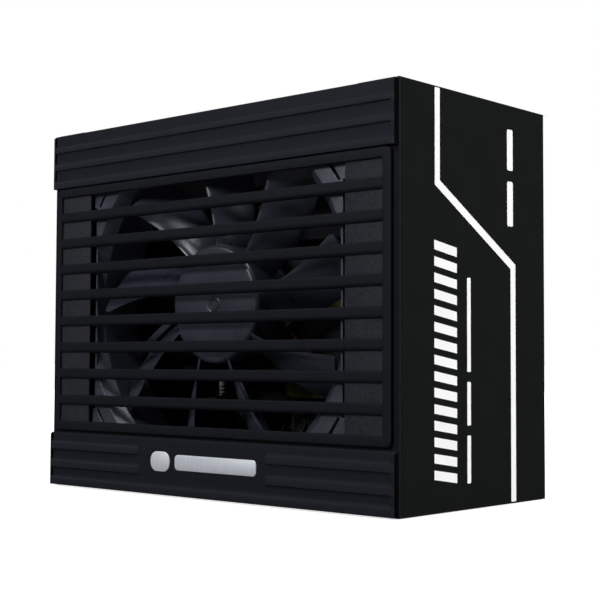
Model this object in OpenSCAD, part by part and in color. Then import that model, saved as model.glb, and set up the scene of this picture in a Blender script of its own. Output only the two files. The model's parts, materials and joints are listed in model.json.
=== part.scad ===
// Compact computer power supply unit, standing on its cable-socket end.
// Origin: centre of the footprint on the ground, +Z up, fan side toward -Y,
// mains end at the top, label sides at -X and +X. All sizes in millimetres.

/* [Case] */
// overall width of the case, left to right
case_w = 125; // [124.6:0.1:125.4]
// overall depth of the case, fan side to rear side
case_d = 63.5; // [63.5:0.1:64]
// height from the socket end to the mounting pads of the mains end
case_h = 100; // [100:0.1:101]
// thickness of the folded steel sheet
sheet_t = 0.8; // [0.6:0.05:0.8]
// height of the four mounting pads above the mains end plate
pad_rise = 0.4; // [0.2:0.05:0.4]
// radius of the four case mounting holes
mount_hole_r = 1.75; // [1.6:0.05:2]
// spacing of the case mounting holes across the width
mount_w = 113; // [112.5:0.1:113.5]
// spacing of the case mounting holes across the depth
mount_d = 51.5; // [51:0.1:52]

/* [Fan side] */
// width of the two ribbed trim strips
trim_w = 123.8; // [122:0.2:124]
// height of the trim ribs above their grooves
rib_rise = 0.4; // [0.2:0.05:0.4]
// width of the slatted grille panel
grille_w = 121; // [120:0.2:123]
// height of one grille slat
slat_h = 3; // [2.6:0.1:3.4]
// distance from one grille slat to the next
slat_pitch = 7.38; // [7.3:0.02:7.4]
// depth of the textured pads beside the grille openings
pad_depth = 0.6; // [0.3:0.05:0.7]
// width of the opening in the sheet behind the grille
air_open_w = 101; // [94:0.5:102]
// height of that opening
air_open_h = 67; // [65:0.2:67.4]

/* [Fan] */
// radius of the rotor hub
hub_r = 15.5; // [15.2:0.1:16]
// number of rotor blades
blade_count = 9; // [7:1:9]
// radius of the blade tips
blade_tip_r = 43.2; // [41:0.2:43.6]
// radius of the bore of the fan frame
fan_bore_r = 44.4; // [44:0.1:44.6]
// radius of the flared mouth at the corners of the fan frame
fan_mouth_r = 47.4; // [45.5:0.1:48]
// width each blade covers around the hub, in degrees
blade_sweep = 22; // [19:1:27]

/* [Mains end] */
// distance between the honeycomb vent holes
vent_pitch = 6.2; // [6:0.1:7]
// width across the flats of one vent hole
vent_hole = 5.3; // [4:0.1:5.3]
// angle of the switch rocker from its level position
rocker_tilt = 11; // [8:0.5:11]

/* [Inside] */
// thickness of the main circuit board
board_t = 1.6; // [1.2:0.1:1.6]
// radius of the bulk capacitor
bulk_cap_r = 15; // [12:0.5:15]
// height of the bulk capacitor above the board
bulk_cap_h = 36; // [28:1:37]
// radius of the output capacitors
out_cap_r = 4; // [3:0.25:4]
// turns on each half of a filter choke
choke_turns = 7; // [5:1:7]

/* [Hidden] */
gap = 0.05;                          // assembly clearance between fitted pieces
label_t = 0.15;                      // thickness of the side and rating labels
side_out = case_w / 2 - label_t;     // outer face of the label-side walls
side_in = side_out - sheet_t;        // inner face of those walls
rib_y = -case_d / 2;                 // outermost plane of the trim ribs
groove_y = rib_y + rib_rise;         // floor of the grooves between the ribs
front_y = rib_y + 1.45;              // outer face of the fan-side sheet
trim_back = front_y - gap;           // rear face of the trims and the grille
inner_y = front_y + sheet_t + gap;   // front limit of what sits behind that sheet
back_out = case_d / 2 - label_t;     // outer face of the rear sheet
back_in = back_out - sheet_t;        // inner face of the rear sheet
top_z = case_h - pad_rise;           // outer face of the mains end plate
top_in = top_z - sheet_t;            // inner face of that plate
fan_z = 50;                          // height of the fan axis
fan_front = inner_y;                 // front face of the fan frame
fan_back = fan_front + 15;           // back face of the fan frame
board_y = 26.2;                      // component face of the main board
seat_y = board_y - 0.1;              // where parts end, just short of that face

// places on the faces, as [x, z]
fan_screw_at = [for (i = [-1, 1], j = [-1, 1]) [i * 41.25, fan_z + j * 41.25]];
clip_at = [for (i = [-1, 1], j = [-1, 1]) [i * 54, fan_z + j * 3.5 * slat_pitch]];
tab_z = [13, 87];
cover_screw_at = [for (i = [-1, 1], z = tab_z) [i * 57.5, z]];
standoff_at = [[-54.5, 24.5], [54.5, 24.5], [-54.5, 74], [20, 58.6]];
bulk_at = [43, 76.2];
bulk_leads = [for (i = [-5, 5]) [bulk_at[0] + i, bulk_at[1]]];

// the mains end
mains_y = 8;                         // line through the inlet, switch and earth screw
inlet_x = -36;
inlet_pin_at = [[inlet_x - 7, mains_y - 2], [inlet_x + 7, mains_y - 2],
                [inlet_x, mains_y + 2]];
switch_x = -8;
earth_at = [-56, mains_y];

shank_r = 1.5;                       // every screw
flat_head_r = 2.85;
pan_head_r = 2.8;

// colours shared by several pieces
trim_grey = [0.09, 0.095, 0.11];
dark_screw = [0.15, 0.15, 0.16];
bright_screw = [0.7, 0.7, 0.72];
board_green = [0.1, 0.26, 0.14];
chip_black = [0.08, 0.08, 0.09];
dark_metal = [0.2, 0.2, 0.21];       // ferrite cores and heatsinks
winding_amber = [0.78, 0.5, 0.12];
socket_black = [0.06, 0.06, 0.065];
tinned = [0.78, 0.77, 0.72];
wire_red = [0.6, 0.05, 0.05];
wire_brown = [0.35, 0.18, 0.08];

// ---- helpers; a span is [low, high] along one axis ----
function about(centre, half) = [centre - half, centre + half];
// the span given for the +X side, mirrored when side is -1
function on_side(side, low, high) = side > 0 ? [low, high] : [-high, -low];

module box(x, y, z) translate([x[0], y[0], z[0]])
  cube([x[1] - x[0], y[1] - y[0], z[1] - z[0]]);
// box given as [x span, y span, z span]
module block(spans) box(spans[0], spans[1], spans[2]);
module block_with_hole(outer, hole) difference() {
  block(outer);
  block(hole);
}
// square post along z, centred at [x, y]
module post(at, width, z) box(about(at[0], width / 2), about(at[1], width / 2), z);

// prisms: prism_x takes 2D drawn as (y, z), prism_y as (x, z), prism_z as (x, y)
module prism_x(x) translate([x[0], 0, 0]) rotate([90, 0, 90])
  linear_extrude(x[1] - x[0]) children();
module prism_y(y) translate([0, y[1], 0]) rotate([90, 0, 0])
  linear_extrude(y[1] - y[0]) children();
module prism_z(z) translate([0, 0, z[0]])
  linear_extrude(z[1] - z[0]) children();

// cylinders along each axis; at holds the other two coordinates in order
module rod_x(at, x, r) translate([x[0], at[0], at[1]]) rotate([0, 90, 0])
  cylinder(r = r, h = x[1] - x[0], $fn = 48);
module rod_y(at, y, r) translate([at[0], y[1], at[1]]) rotate([90, 0, 0])
  cylinder(r = r, h = y[1] - y[0], $fn = 48);
module rod_z(at, z, r) translate([at[0], at[1], z[0]])
  cylinder(r = r, h = z[1] - z[0], $fn = 48);

module rounded_rect(centre, size, r) translate(centre) union() {
  square([size[0] - 2 * r, size[1]], center = true);
  square([size[0], size[1] - 2 * r], center = true);
  for (i = [-1, 1], j = [-1, 1])
    translate([i * (size[0] / 2 - r), j * (size[1] / 2 - r)]) circle(r, $fn = 24);
}

function unit(v) = v / max(norm(v), 1e-9);
// corner cutting, which turns a bent line into a smooth one
function soften(line) = let (last = len(line) - 1) concat(
  [line[0]],
  [for (i = [0:last - 1]) let (a = line[i], b = line[i + 1]) each [
    i == 0 ? a * 0.5 + b * 0.5 : a * 0.75 + b * 0.25,
    i == last - 1 ? a * 0.5 + b * 0.5 : a * 0.25 + b * 0.75]],
  [line[last]]);
// direction of a line at each of its points
function directions(line) = let (
    last = len(line) - 1,
    steps = [for (i = [0:last - 1]) unit(line[i + 1] - line[i])])
  [for (i = [0:last]) unit(steps[min(i, last - 1)] + steps[max(i - 1, 0)])];
function square_to(v) = unit(cross(v, abs(v[1]) < 0.8 ? [0, 1, 0] : [1, 0, 0]));

// six-sided wire along a line of points, as a closed mesh
module wire(line, r) {
  sides = 6;
  count = len(line);
  along = directions(line);
  // one cross direction per point, carried along so that the wire doesn't twist
  across = [for (i = 0, a = square_to(along[0]); i < count;
    i = i + 1, a = i < count ? unit(a - (a * along[i]) * along[i]) : a) a];
  points = [for (i = [0:count - 1])
    let (u = across[i], w = cross(along[i], u))
    for (k = [0:sides - 1])
      line[i] + r * (cos(k * 360 / sides) * u + sin(k * 360 / sides) * w)];
  polyhedron(points, concat(
    [[for (k = [0:sides - 1]) k]],
    [[for (k = [sides - 1:-1:0]) (count - 1) * sides + k]],
    [for (i = [0:count - 2], k = [0:sides - 1])
      let (here = i * sides, next = here + sides, q = (k + 1) % sides)
      each [[here + k, next + k, here + q], [here + q, next + k, next + q]]]));
}
// wire dressed in smooth bends
module cable(line, r) wire(soften(soften(line)), r);

// cross recess for a screw head, centred at the origin
module cross_recess(size, depth) for (a = [0, 90]) rotate([0, 0, a])
  cube([size, 0.7, depth], center = true);
// countersunk screw at [x, z] with its flat face at y, pointing along side * y
module flat_screw(at, y, side, length) translate([at[0], y, at[1]])
  rotate([-90 * side, 0, 0]) difference() {
    union() {
      cylinder(r1 = flat_head_r, r2 = shank_r, h = flat_head_r - shank_r, $fn = 32);
      cylinder(r = shank_r, h = length, $fn = 32);
    }
    translate([0, 0, 0.35]) cross_recess(flat_head_r, 0.9);
  }
module countersink() cylinder(r1 = 2.95, r2 = 1.95, h = 1, $fn = 48);

// ---- case ----
wall_x = side_in - gap;              // half width of the base shell
root_3 = 1.732;
row_pitch = vent_pitch * root_3 / 2;
// staggered vent places within an x span and a y span
function vent_sites(x, y) = [
  for (i = [0:floor((x[1] - x[0]) / vent_pitch)], j = [0:floor((y[1] - y[0]) / row_pitch)])
    let (site_x = x[0] + i * vent_pitch + (j % 2) * vent_pitch / 2)
    if (site_x <= x[1]) [site_x, y[0] + j * row_pitch]];
vents = concat(vent_sites([7.5, 48], [-24, 26]), vent_sites([-46, -2], [-24, -9]));

// cable sockets: centre x, centre y, columns of contacts
main_set = [[-25, 19, 9], [10.2, 19, 5]];
small_set = [[-38, 5, 4], [-14, 5, 4], [10, 5, 4], [31.8, 5, 3],
             [-38, -8, 4], [-14, -8, 6], [15.8, -8, 3], [34.6, -8, 3]];
all_sockets = concat(main_set, small_set);
contact_pitch = 4.2;
function socket_w(socket) = socket[2] * contact_pitch + 1.4;

mount_at = [for (i = [-1, 1], j = [-1, 1]) [i * mount_w / 2, j * mount_d / 2]];
// mounting pads: centre y, depth
pad_rows = [[front_y + 5.5, 11], [back_out - 5.6, 11.2]];

module end_plate_plan() translate([-wall_x, inner_y])
  square([2 * wall_x, back_out - inner_y]);
module mains_end_holes() {
  for (p = mount_at) translate(p) circle(mount_hole_r, $fn = 48);
  rounded_rect([inlet_x, mains_y], [27.2, 20.2], 1);
  translate([switch_x, mains_y]) square([13, 19.4], center = true);
  for (p = vents) translate(p) rotate(30) circle(vent_hole / root_3, $fn = 6);
  translate(earth_at) circle(1.7, $fn = 32);
}
// the front two pads lap over the edge of the fan-side sheet
module mounting_pads() difference() {
  for (i = [-1, 1], row = pad_rows) prism_z([top_z - gap, case_h])
    rounded_rect([i * 55.5, row[0]], [11.6, row[1]], 0.6);
  for (p = mount_at) rod_z(p, [top_z - 1, case_h + 1], mount_hole_r);
}

module base_shell() color([0.09, 0.09, 0.1]) difference() {
  union() {
    box([-wall_x, wall_x], [back_in, back_out], [0, top_z]);
    prism_z([top_in, top_z]) difference() {
      end_plate_plan();
      mains_end_holes();
    }
    mounting_pads();
    prism_z([0, sheet_t]) difference() {
      end_plate_plan();
      for (s = all_sockets)
        translate([s[0], s[1]]) square([socket_w(s) + 0.5, 10.1], center = true);
    }
    // short side flanges at both ends
    for (side = [-1, 1], z = [[93, top_z - 0.3], [0.3, 7]])
      box(on_side(side, wall_x - 0.8, wall_x), [-12, 27], z);
  }
  for (p = cover_screw_at)
    translate([p[0], back_out + 0.01, p[1]]) rotate([90, 0, 0]) countersink();
  for (p = standoff_at) rod_y(p, [back_in - 1, back_out + 1], 1.6);
}

// plan outline of the cover, with its two folded corners
module cover_outline() {
  fold_r = 0.5;
  translate([-side_out, front_y + fold_r])
    square([2 * side_out, back_out - front_y - fold_r]);
  translate([-side_out + fold_r, front_y]) square([2 * (side_out - fold_r), fold_r + 1]);
  for (i = [-1, 1])
    translate([i * (side_out - fold_r), front_y + fold_r]) circle(fold_r, $fn = 32);
}
module cover_shell() color([0.1, 0.105, 0.11]) difference() {
  union() {
    prism_z([0, top_z - 2 * gap]) difference() {
      cover_outline();
      translate([-side_in, front_y + sheet_t]) square([2 * side_in, case_d]);
    }
    // the label-side walls stand up level with the mounting pads
    prism_z([top_z - 1, case_h]) difference() {
      cover_outline();
      translate([-side_in, front_y - 1]) square([2 * side_in, case_d + 2]);
    }
    // screw tabs behind the rear sheet of the base
    for (side = [-1, 1], z = tab_z)
      box(on_side(side, 53.5, side_in + 0.3), [back_in - gap - 0.8, back_in - gap],
          about(z, 5));
  }
  prism_y([front_y - 1, front_y + sheet_t + 1])
    rounded_rect([0, fan_z], [air_open_w, air_open_h], 3);
  for (p = fan_screw_at)
    translate([p[0], front_y - 0.01, p[1]]) rotate([-90, 0, 0]) countersink();
  for (p = clip_at)
    box(about(p[0], 1.6), [front_y - 1, front_y + sheet_t + 1], about(p[1], 0.6));
  for (p = cover_screw_at)
    translate([p[0], back_in + gap, p[1]]) rotate([90, 0, 0]) {
      cylinder(r1 = 2.2, r2 = 1.6, h = 0.6, $fn = 48);
      cylinder(r = 1.6, h = 3, $fn = 48);
    }
}

// trim ribs: [bottom, top] heights
upper_ribs = [[84.6, 86.8], [89.7, 91.9], [94.7, 96.8]];
full_rib = [0.3, 2.9];               // across the whole lower trim
split_ribs = [[5.1, 7.7], [10.2, 12.8]];  // interrupted around the badge
function rib_points(rib) = [[groove_y, rib[0]], [rib_y, rib[0] + 0.05],
                            [rib_y, rib[1] - 0.7], [groove_y, rib[1]]];
// trim section as (y, z)
function trim_profile(bottom, top, ribs) = [
  [trim_back, bottom + 0.2], [trim_back - 0.3, bottom],
  for (rib = ribs) each rib_points(rib),
  [groove_y, top - 0.3], [groove_y + 0.3, top], [trim_back, top]];
// cutters for the two end corners of a trim, beside the grille
module corner_cuts(z, w, h) for (i = [-1, 1])
  translate([i * 61.3, front_y, z]) rotate([0, i * 45, 0]) cube([w, 8, h], center = true);

module upper_trim() color(trim_grey) difference() {
  prism_x(about(0, trim_w / 2)) polygon(trim_profile(84.4, top_z + 0.1, upper_ribs));
  corner_cuts(84.4, 1, 2.2);
}
module lower_trim() color(trim_grey) difference() {
  root_y = groove_y + 0.2;
  union() {
    prism_x(about(0, trim_w / 2)) polygon(trim_profile(0.2, 15, [full_rib]));
    for (x = [[-trim_w / 2, -24.3], [22.4, trim_w / 2]], rib = split_ribs)
      prism_x(x) polygon([[root_y, rib[0]], each rib_points(rib), [root_y, rib[1]]]);
  }
  // recess around the badge
  prism_y([rib_y + 0.3, groove_y + 0.25]) rounded_rect([-0.1, 8.9], [40.6, 6.8], 0.8);
  corner_cuts(15, 2.2, 1);
}
module badge() color([0.7, 0.71, 0.73]) prism_y([rib_y + 0.35, groove_y + 0.2]) {
  rounded_rect([-15.6, 8.9], [7.4, 5.2], 2.4);
  rounded_rect([4.6, 8.9], [29.2, 4], 1.2);
}

// heights of the nine rows of grille openings
row_z = [for (i = [-4:4]) fan_z + i * slat_pitch];
module fan_grille() color([0.085, 0.09, 0.105]) {
  face_y = rib_y + 0.4;
  grille_h = 9 * slat_pitch + 2.2;
  difference() {
    union() {
      prism_y([face_y + 0.25, trim_back])
        rounded_rect([0, fan_z], [grille_w, grille_h], 1.8);
      prism_y([face_y, face_y + 0.3])
        rounded_rect([0, fan_z], [grille_w - 0.5, grille_h - 0.5], 1.6);
    }
    for (z = row_z) prism_y([face_y - 1, trim_back + 1])
      rounded_rect([0.1, z], [116, slat_pitch - slat_h], 0.5);
  }
  // textured pads closing the openings at both sides
  for (x = [[-58.4, -46], [46.6, 58.4]])
    box(x, [face_y + pad_depth, trim_back], [row_z[0] - 2.4, row_z[8] + 2.4]);
  // stiffening rib behind each slat
  for (i = [0:7]) let (z = (row_z[i] + row_z[i + 1]) / 2)
    prism_x([-45, 45]) polygon([[trim_back - 0.1, z - 1], [trim_back - 0.1, z + 1],
                                [trim_back + 0.4, z + 0.6], [trim_back + 0.4, z - 0.6]]);
  // clips that pass through the slots of the sheet
  for (p = clip_at)
    box(about(p[0], 1.4), [trim_back - 0.3, front_y + sheet_t + 0.4], about(p[1], 0.45));
}

module side_label(side) color([0.1, 0.11, 0.105])
  prism_x(on_side(side, side_out, side_out + label_t))
    rounded_rect([0.65, case_h / 2], [back_out - front_y - 1.1, case_h - 0.8], 1);
module right_label() side_label(1);
module left_label() side_label(-1);
module rating_label() color([0.82, 0.82, 0.8])
  prism_y([back_out + 0.01, back_out + label_t])
    rounded_rect([0, top_z / 2], [92, 78], 2);

module cover_screws() color(dark_screw)
  for (p = cover_screw_at) flat_screw(p, y = back_out, side = -1, length = 3.4);
module fan_screws() color(dark_screw)
  for (p = fan_screw_at) flat_screw(p, y = front_y, side = 1, length = 9);

// ---- fan ----
module fan_outline() difference() {
  rounded_rect([0, fan_z], [92, 92], 5);
  translate([0, fan_z]) circle(fan_bore_r, $fn = 96);
  for (p = fan_screw_at) translate(p) circle(2.15, $fn = 32);
}
module front_flange() difference() {
  prism_y([fan_front, fan_front + 3]) fan_outline();
  // mouth, flared only in the corners
  intersection() {
    translate([0, fan_front - 0.01, fan_z]) rotate([-90, 0, 0])
      cylinder(r1 = fan_mouth_r, r2 = fan_bore_r, h = 2.9, $fn = 96);
    box(about(0, 44.3), [fan_front - 1, fan_front + 4], about(fan_z, 44.3));
  }
  // flange set back between the corners, leaving a narrow rim beside the mouth
  for (i = [-1, 1]) translate([i * 46.2, fan_front + 1.4, fan_z])
    cube([2.2, 3.4, 56], center = true);
  // short curved groove in each corner of the front flange
  for (i = [-1, 1], j = [-1, 1]) prism_y([fan_front - 1, fan_front + 1.2])
    translate([0, fan_z]) scale([i, j]) intersection() {
      difference() {
        circle(52.35, $fn = 128);
        circle(51.65, $fn = 128);
      }
      polygon([[0, 0], [50.5, 32.3], [45, 40]]);
    }
}
module motor_mount() difference() {
  union() {
    rod_y([0, fan_z], [fan_back - 1.5, fan_back], 15.2);
    rod_y([0, fan_z], [fan_front + 5, fan_back - 1], 3.8);
    // swept struts that carry the motor plate
    for (a = [-92, -2, 88, 178]) translate([0, fan_back - 2.3, fan_z])
      rotate([0, -a, 0]) translate([21.6, 0, 0]) rotate([0, -36, 0])
        translate([-11, 0, -1.1]) cube([36.3, 2.3, 2.2]);
  }
  rod_y([0, fan_z], [fan_front + 4, fan_back - 1.2], 3);
}
module fan_frame() color([0.13, 0.13, 0.15]) {
  front_flange();
  prism_y([fan_back - 3, fan_back]) fan_outline();
  prism_y([fan_front + 2.9, fan_back - 2.9]) translate([0, fan_z]) difference() {
    circle(45.7, $fn = 96);
    circle(fan_bore_r, $fn = 96);
  }
  motor_mount();
}

// blade surface point: fraction u out from the hub, v from the leading edge,
// side -1 for the front skin and 1 for the back skin
function blade_point(u, v, side) = let (
    root_r = hub_r - 0.4,
    r = root_r + u * (blade_tip_r - root_r),
    angle = 90 + 0.45 * (r - 16) - v * (blade_sweep - 5 * u),
    fullness = sin(180 * min(max(v, 0.04), 0.96)),
    y = fan_front + 2.1 + 0.5 * (1 - u) + (7.6 + 0.4 * u) * pow(v, 1.2)
        + side * (0.22 + 0.42 * fullness))
  [r * cos(angle), y, r * sin(angle)];
module blade() {
  nu = 4;                            // steps out from the hub
  nv = 5;                            // steps around the hub
  function id(i, j, skin) = (skin * (nu + 1) + i) * (nv + 1) + j;
  function quad(a, b, c, d) = [[a, c, b], [a, d, c]];
  points = [for (side = [-1, 1], i = [0:nu], j = [0:nv]) blade_point(i / nu, j / nv, side)];
  skins = [for (i = [0:nu - 1], j = [0:nv - 1]) each concat(
    quad(id(i, j, 0), id(i, j + 1, 0), id(i + 1, j + 1, 0), id(i + 1, j, 0)),
    quad(id(i, j, 1), id(i + 1, j, 1), id(i + 1, j + 1, 1), id(i, j + 1, 1)))];
  // leading and trailing edges
  edges = [for (i = [0:nu - 1]) each concat(
    quad(id(i, 0, 0), id(i + 1, 0, 0), id(i + 1, 0, 1), id(i, 0, 1)),
    quad(id(i, nv, 0), id(i, nv, 1), id(i + 1, nv, 1), id(i + 1, nv, 0)))];
  // root and tip
  ends = [for (j = [0:nv - 1]) each concat(
    quad(id(0, j, 0), id(0, j, 1), id(0, j + 1, 1), id(0, j + 1, 0)),
    quad(id(nu, j, 0), id(nu, j + 1, 0), id(nu, j + 1, 1), id(nu, j, 1)))];
  polyhedron(points, concat(skins, edges, ends));
}
// turns a profile drawn as (radius, distance behind the fan face) about the fan axis
module turned() translate([0, fan_front, fan_z]) rotate([-90, 0, 0])
  rotate_extrude($fn = 64) children();

module fan_rotor() color([0.2, 0.21, 0.26]) {
  turned() polygon([
    [0, 2.3], [1.1, 2.3], [1.3, 2], [1.5, 2], [1.7, 2.3], [1.9, 2],
    [hub_r - 1.2, 2], [hub_r - 0.4, 2.3], [hub_r, 3], [hub_r, 12.2],
    [hub_r - 1, 12.2], [hub_r - 1, 3.4], [2.6, 3.4], [2.6, 4.4],
    [1.02, 4.4], [1.02, 2.9], [0, 2.9]]);
  translate([0, 0, fan_z]) for (k = [0:blade_count - 1])
    rotate([0, -k * 360 / blade_count, 0]) blade();
}
module rotor_yoke() color([0.55, 0.56, 0.58]) turned()
  translate([hub_r - 1.6, 3.5]) square([0.55, 8.4]);
module rotor_magnet() color([0.2, 0.19, 0.18]) turned()
  translate([hub_r - 3.6, 4]) square([1.95, 7.4]);
module fan_shaft() color([0.75, 0.76, 0.78])
  rod_y([0, fan_z], [fan_front + 2.95, fan_front + 13], 1);
module fan_bearing() color([0.72, 0.55, 0.3]) turned()
  translate([1.04, 5.2]) square([1.92, 7.8]);
// four-pole core with curved shoes
module stator_core() color([0.45, 0.46, 0.48])
  prism_y([fan_front + 7, fan_front + 11]) translate([0, fan_z]) difference() {
    union() {
      circle(5.6, $fn = 48);
      for (a = [0:90:270]) rotate(a) {
        translate([0, -1.5]) square([10, 3]);
        intersection() {
          difference() {
            circle(11.2, $fn = 64);
            circle(9.4, $fn = 64);
          }
          polygon([[0, 0], [14, -10], [14, 10]]);
        }
      }
    }
    circle(3.85, $fn = 48);
  }
module stator_coils() color([0.75, 0.38, 0.16])
  translate([0, 0, fan_z]) for (a = [0:90:270]) rotate([0, a, 0]) block_with_hole(
    [[6, 8.75], [fan_front + 5.9, fan_front + 12.1], [-3.2, 3.2]],
    [[5, 10], [fan_front + 6.95, fan_front + 11.05], [-1.55, 1.55]]);
module fan_board() color([0.1, 0.3, 0.16])
  prism_y([fan_front + 12.3, fan_front + 13.3]) translate([0, fan_z]) difference() {
    circle(12, $fn = 64);
    circle(3.9, $fn = 48);
  }
// two wires from the motor to a plug on the main board
module fan_cable() {
  wire_y = fan_back + 0.85;
  plug_x = [-57.4, -55.2];
  for (k = [0, 1]) color(k == 0 ? wire_red : [0.05, 0.05, 0.05]) cable([
    [5 + k * 1.6, wire_y, fan_z - 8], [-2 + k * 1.4, wire_y, fan_z - 24 + k],
    [-24, wire_y, 22 + k * 1.5], [-50, -10, 21 + k * 1.5],
    [plug_x[k], -4, 27], [plug_x[k], 12, 31], [plug_x[k], 22, 31]], 0.65);
  color([0.9, 0.88, 0.8]) difference() {
    box([-59, -53.6], [17.2, seat_y], [27.7, 34.2]);
    for (x = plug_x) box(about(x, 0.8), [16, 24.5], about(31, 0.8));
  }
}

// ---- mains inlet and switch ----
module inlet_body() color([0.07, 0.07, 0.075]) difference() {
  union() {
    prism_z([top_z + gap, top_z + 2]) rounded_rect([inlet_x, mains_y], [30.8, 23.8], 2);
    prism_z([78, top_z + 0.1]) rounded_rect([inlet_x, mains_y], [26.8, 19.8], 1);
  }
  // plug cavity with two cut corners toward the rear
  prism_z([top_z - 14.4, top_z + 3]) translate([inlet_x, mains_y])
    polygon([[-12.25, -8.25], [12.25, -8.25], [12.25, 3.4], [7.4, 8.25],
             [-7.4, 8.25], [-12.25, 3.4]]);
  for (p = inlet_pin_at) box(about(p[0], 1.05), about(p[1], 2.05), [77, 90]);
}
module inlet_pins() color(tinned) for (p = inlet_pin_at) {
  tip_z = top_z - 1.2;
  difference() {
    box(about(p[0], 1), about(p[1], 2), [76, tip_z]);
    for (i = [-1, 1]) translate([p[0] + i, p[1], tip_z])
      rotate([0, 45, 0]) cube([0.8, 5, 0.8], center = true);
  }
  box(about(p[0], 0.4), about(p[1], 3.15), [69, 76.1]);
}

// the rocker swings about this point
pivot = [switch_x, mains_y, top_z + 0.1];
// slope of each half of the rocker face, and its height over the pivot
face_slope = 11;
face_rise = 1.7;
terminal_y = [mains_y - 5.2, mains_y + 5.2];
module switch_body() color([0.08, 0.08, 0.085]) difference() {
  union() {
    prism_z([top_z + gap, top_z + 1.6]) rounded_rect([switch_x, mains_y], [15, 21], 1.2);
    prism_z([84, top_z + 0.1]) translate([switch_x, mains_y])
      square([12.8, 19], center = true);
  }
  translate(pivot) {
    box([-5.6, 5.6], [-8.95, 8.95], [-6.5, 3]);
    rod_x([0, 0], [-6.25, 6.25], 1.25);
  }
  for (y = terminal_y) box(about(switch_x, 3.2), about(y, 0.45), [83, 90]);
}
module switch_rocker() color([0.09, 0.09, 0.095])
  translate(pivot) rotate([rocker_tilt, 0, 0]) {
    edge_z = face_rise + 9 * tan(face_slope);
    mark_z = face_rise + 5 * tan(face_slope);
    difference() {
      prism_x([-5.4, 5.4]) intersection() {
        circle(8.75, $fn = 64);
        polygon([[-9, -3], [9, -3], [9, edge_z], [0, face_rise], [-9, edge_z]]);
      }
      // bar and ring marks, sunk into the two faces
      translate([0, 5, mark_z]) rotate([face_slope, 0, 0])
        box([-0.3, 0.3], [-1.5, 1.5], [-0.25, 1]);
      translate([0, -5, mark_z]) rotate([-face_slope, 0, 0]) difference() {
        cylinder(r = 1.7, h = 2, center = true, $fn = 32);
        cylinder(r = 1.15, h = 3, center = true, $fn = 32);
        box([-3, 3], [-3, 3], [-3, -0.25]);
      }
    }
    for (side = [-1, 1]) rod_x([0, 0], on_side(side, 5.3, 6.15), 1.19);
  }
module switch_terminals() color([0.8, 0.78, 0.7]) for (y = terminal_y)
  difference() {
    box(about(switch_x, 3.15), about(y, 0.4), [77.5, 89.5]);
    translate([switch_x, y, 79.5]) rotate([90, 0, 0])
      cylinder(r = 0.8, h = 3, center = true, $fn = 24);
  }

mains_wire_r = 1.1;
module mains_wires() {
  // inlet to switch, then switch to board
  color(wire_brown) cable([
    [inlet_pin_at[0][0], 2.2, 70.4], [inlet_pin_at[0][0], -4, 70.4], [-36, -8, 72],
    [-12, -8, 75], [switch_x, -3, 77], [switch_x, 1.8, 78.4]], mains_wire_r);
  color(wire_brown) cable([
    [switch_x - 4.4, 13.2, 79], [-15.5, 13.2, 79.5], [-17.2, 18, 80.5],
    [-17.2, 25.9, 80.5]], mains_wire_r);
  // inlet to board
  color([0.1, 0.2, 0.55]) cable([
    [inlet_pin_at[1][0] + 1.6, 6, 71], [-24, 5, 71.5], [-20.6, 9, 79],
    [-21.3, 18, 81], [-21.3, 25.9, 81]], mains_wire_r);
}
// lead from the inlet with its ring tag under the end plate
module earth_lead() {
  tag_z = [top_in - 0.85, top_in - gap];
  color([0.25, 0.5, 0.1]) cable([
    [inlet_x - 1.6, 10, 71.5], [-41, 14, 72], [-52, 22, 76], [-55.5, 20, 90],
    [-56, 13.4, 97.4]], mains_wire_r);
  color(tinned) difference() {
    union() {
      rod_z(earth_at, tag_z, 3.6);
      box(about(earth_at[0], 1.4), [mains_y, 15.2], tag_z);
    }
    rod_z(earth_at, [90, 100], 1.6);
  }
}
module earth_screw() color(bright_screw) difference() {
  union() {
    rod_z(earth_at, [top_in - 2.9, top_in - 0.9], pan_head_r);
    rod_z(earth_at, [top_in - 1, top_z - 0.1], shank_r);
  }
  translate([earth_at[0], earth_at[1], top_in - 3]) cross_recess(3.2, 1.8);
}

// ---- main board and what stands on it ----
module main_board() color(board_green) prism_y([board_y, board_y + board_t]) difference() {
  translate([-59.5, 12.6]) square([119, 79.4]);
  for (p = standoff_at) translate(p) circle(1.6, $fn = 32);
  for (p = bulk_leads) translate(p) circle(0.8, $fn = 12);
}
module insulation_sheet() color([0.85, 0.84, 0.78]) prism_y([30.15, 30.45]) difference() {
  translate([-50.5, 3]) square([101, 92]);
  translate(standoff_at[3]) circle(4, $fn = 32);
}
module board_standoffs() color([0.75, 0.62, 0.3]) for (p = standoff_at) difference() {
  rod_y(p, [board_y + board_t + gap, back_in - gap], 2.8);
  rod_y(p, [board_y, back_out + 1], 1.58);
}
module board_screws() color(bright_screw) for (p = standoff_at) difference() {
  union() {
    rod_y(p, [board_y - 1.9, board_y - gap], pan_head_r);
    rod_y(p, [board_y - 0.5, back_out - 0.1], shank_r);
  }
  translate([p[0], board_y - 1.9, p[1]]) rotate([90, 0, 0]) cross_recess(3.2, 1.8);
}

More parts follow.
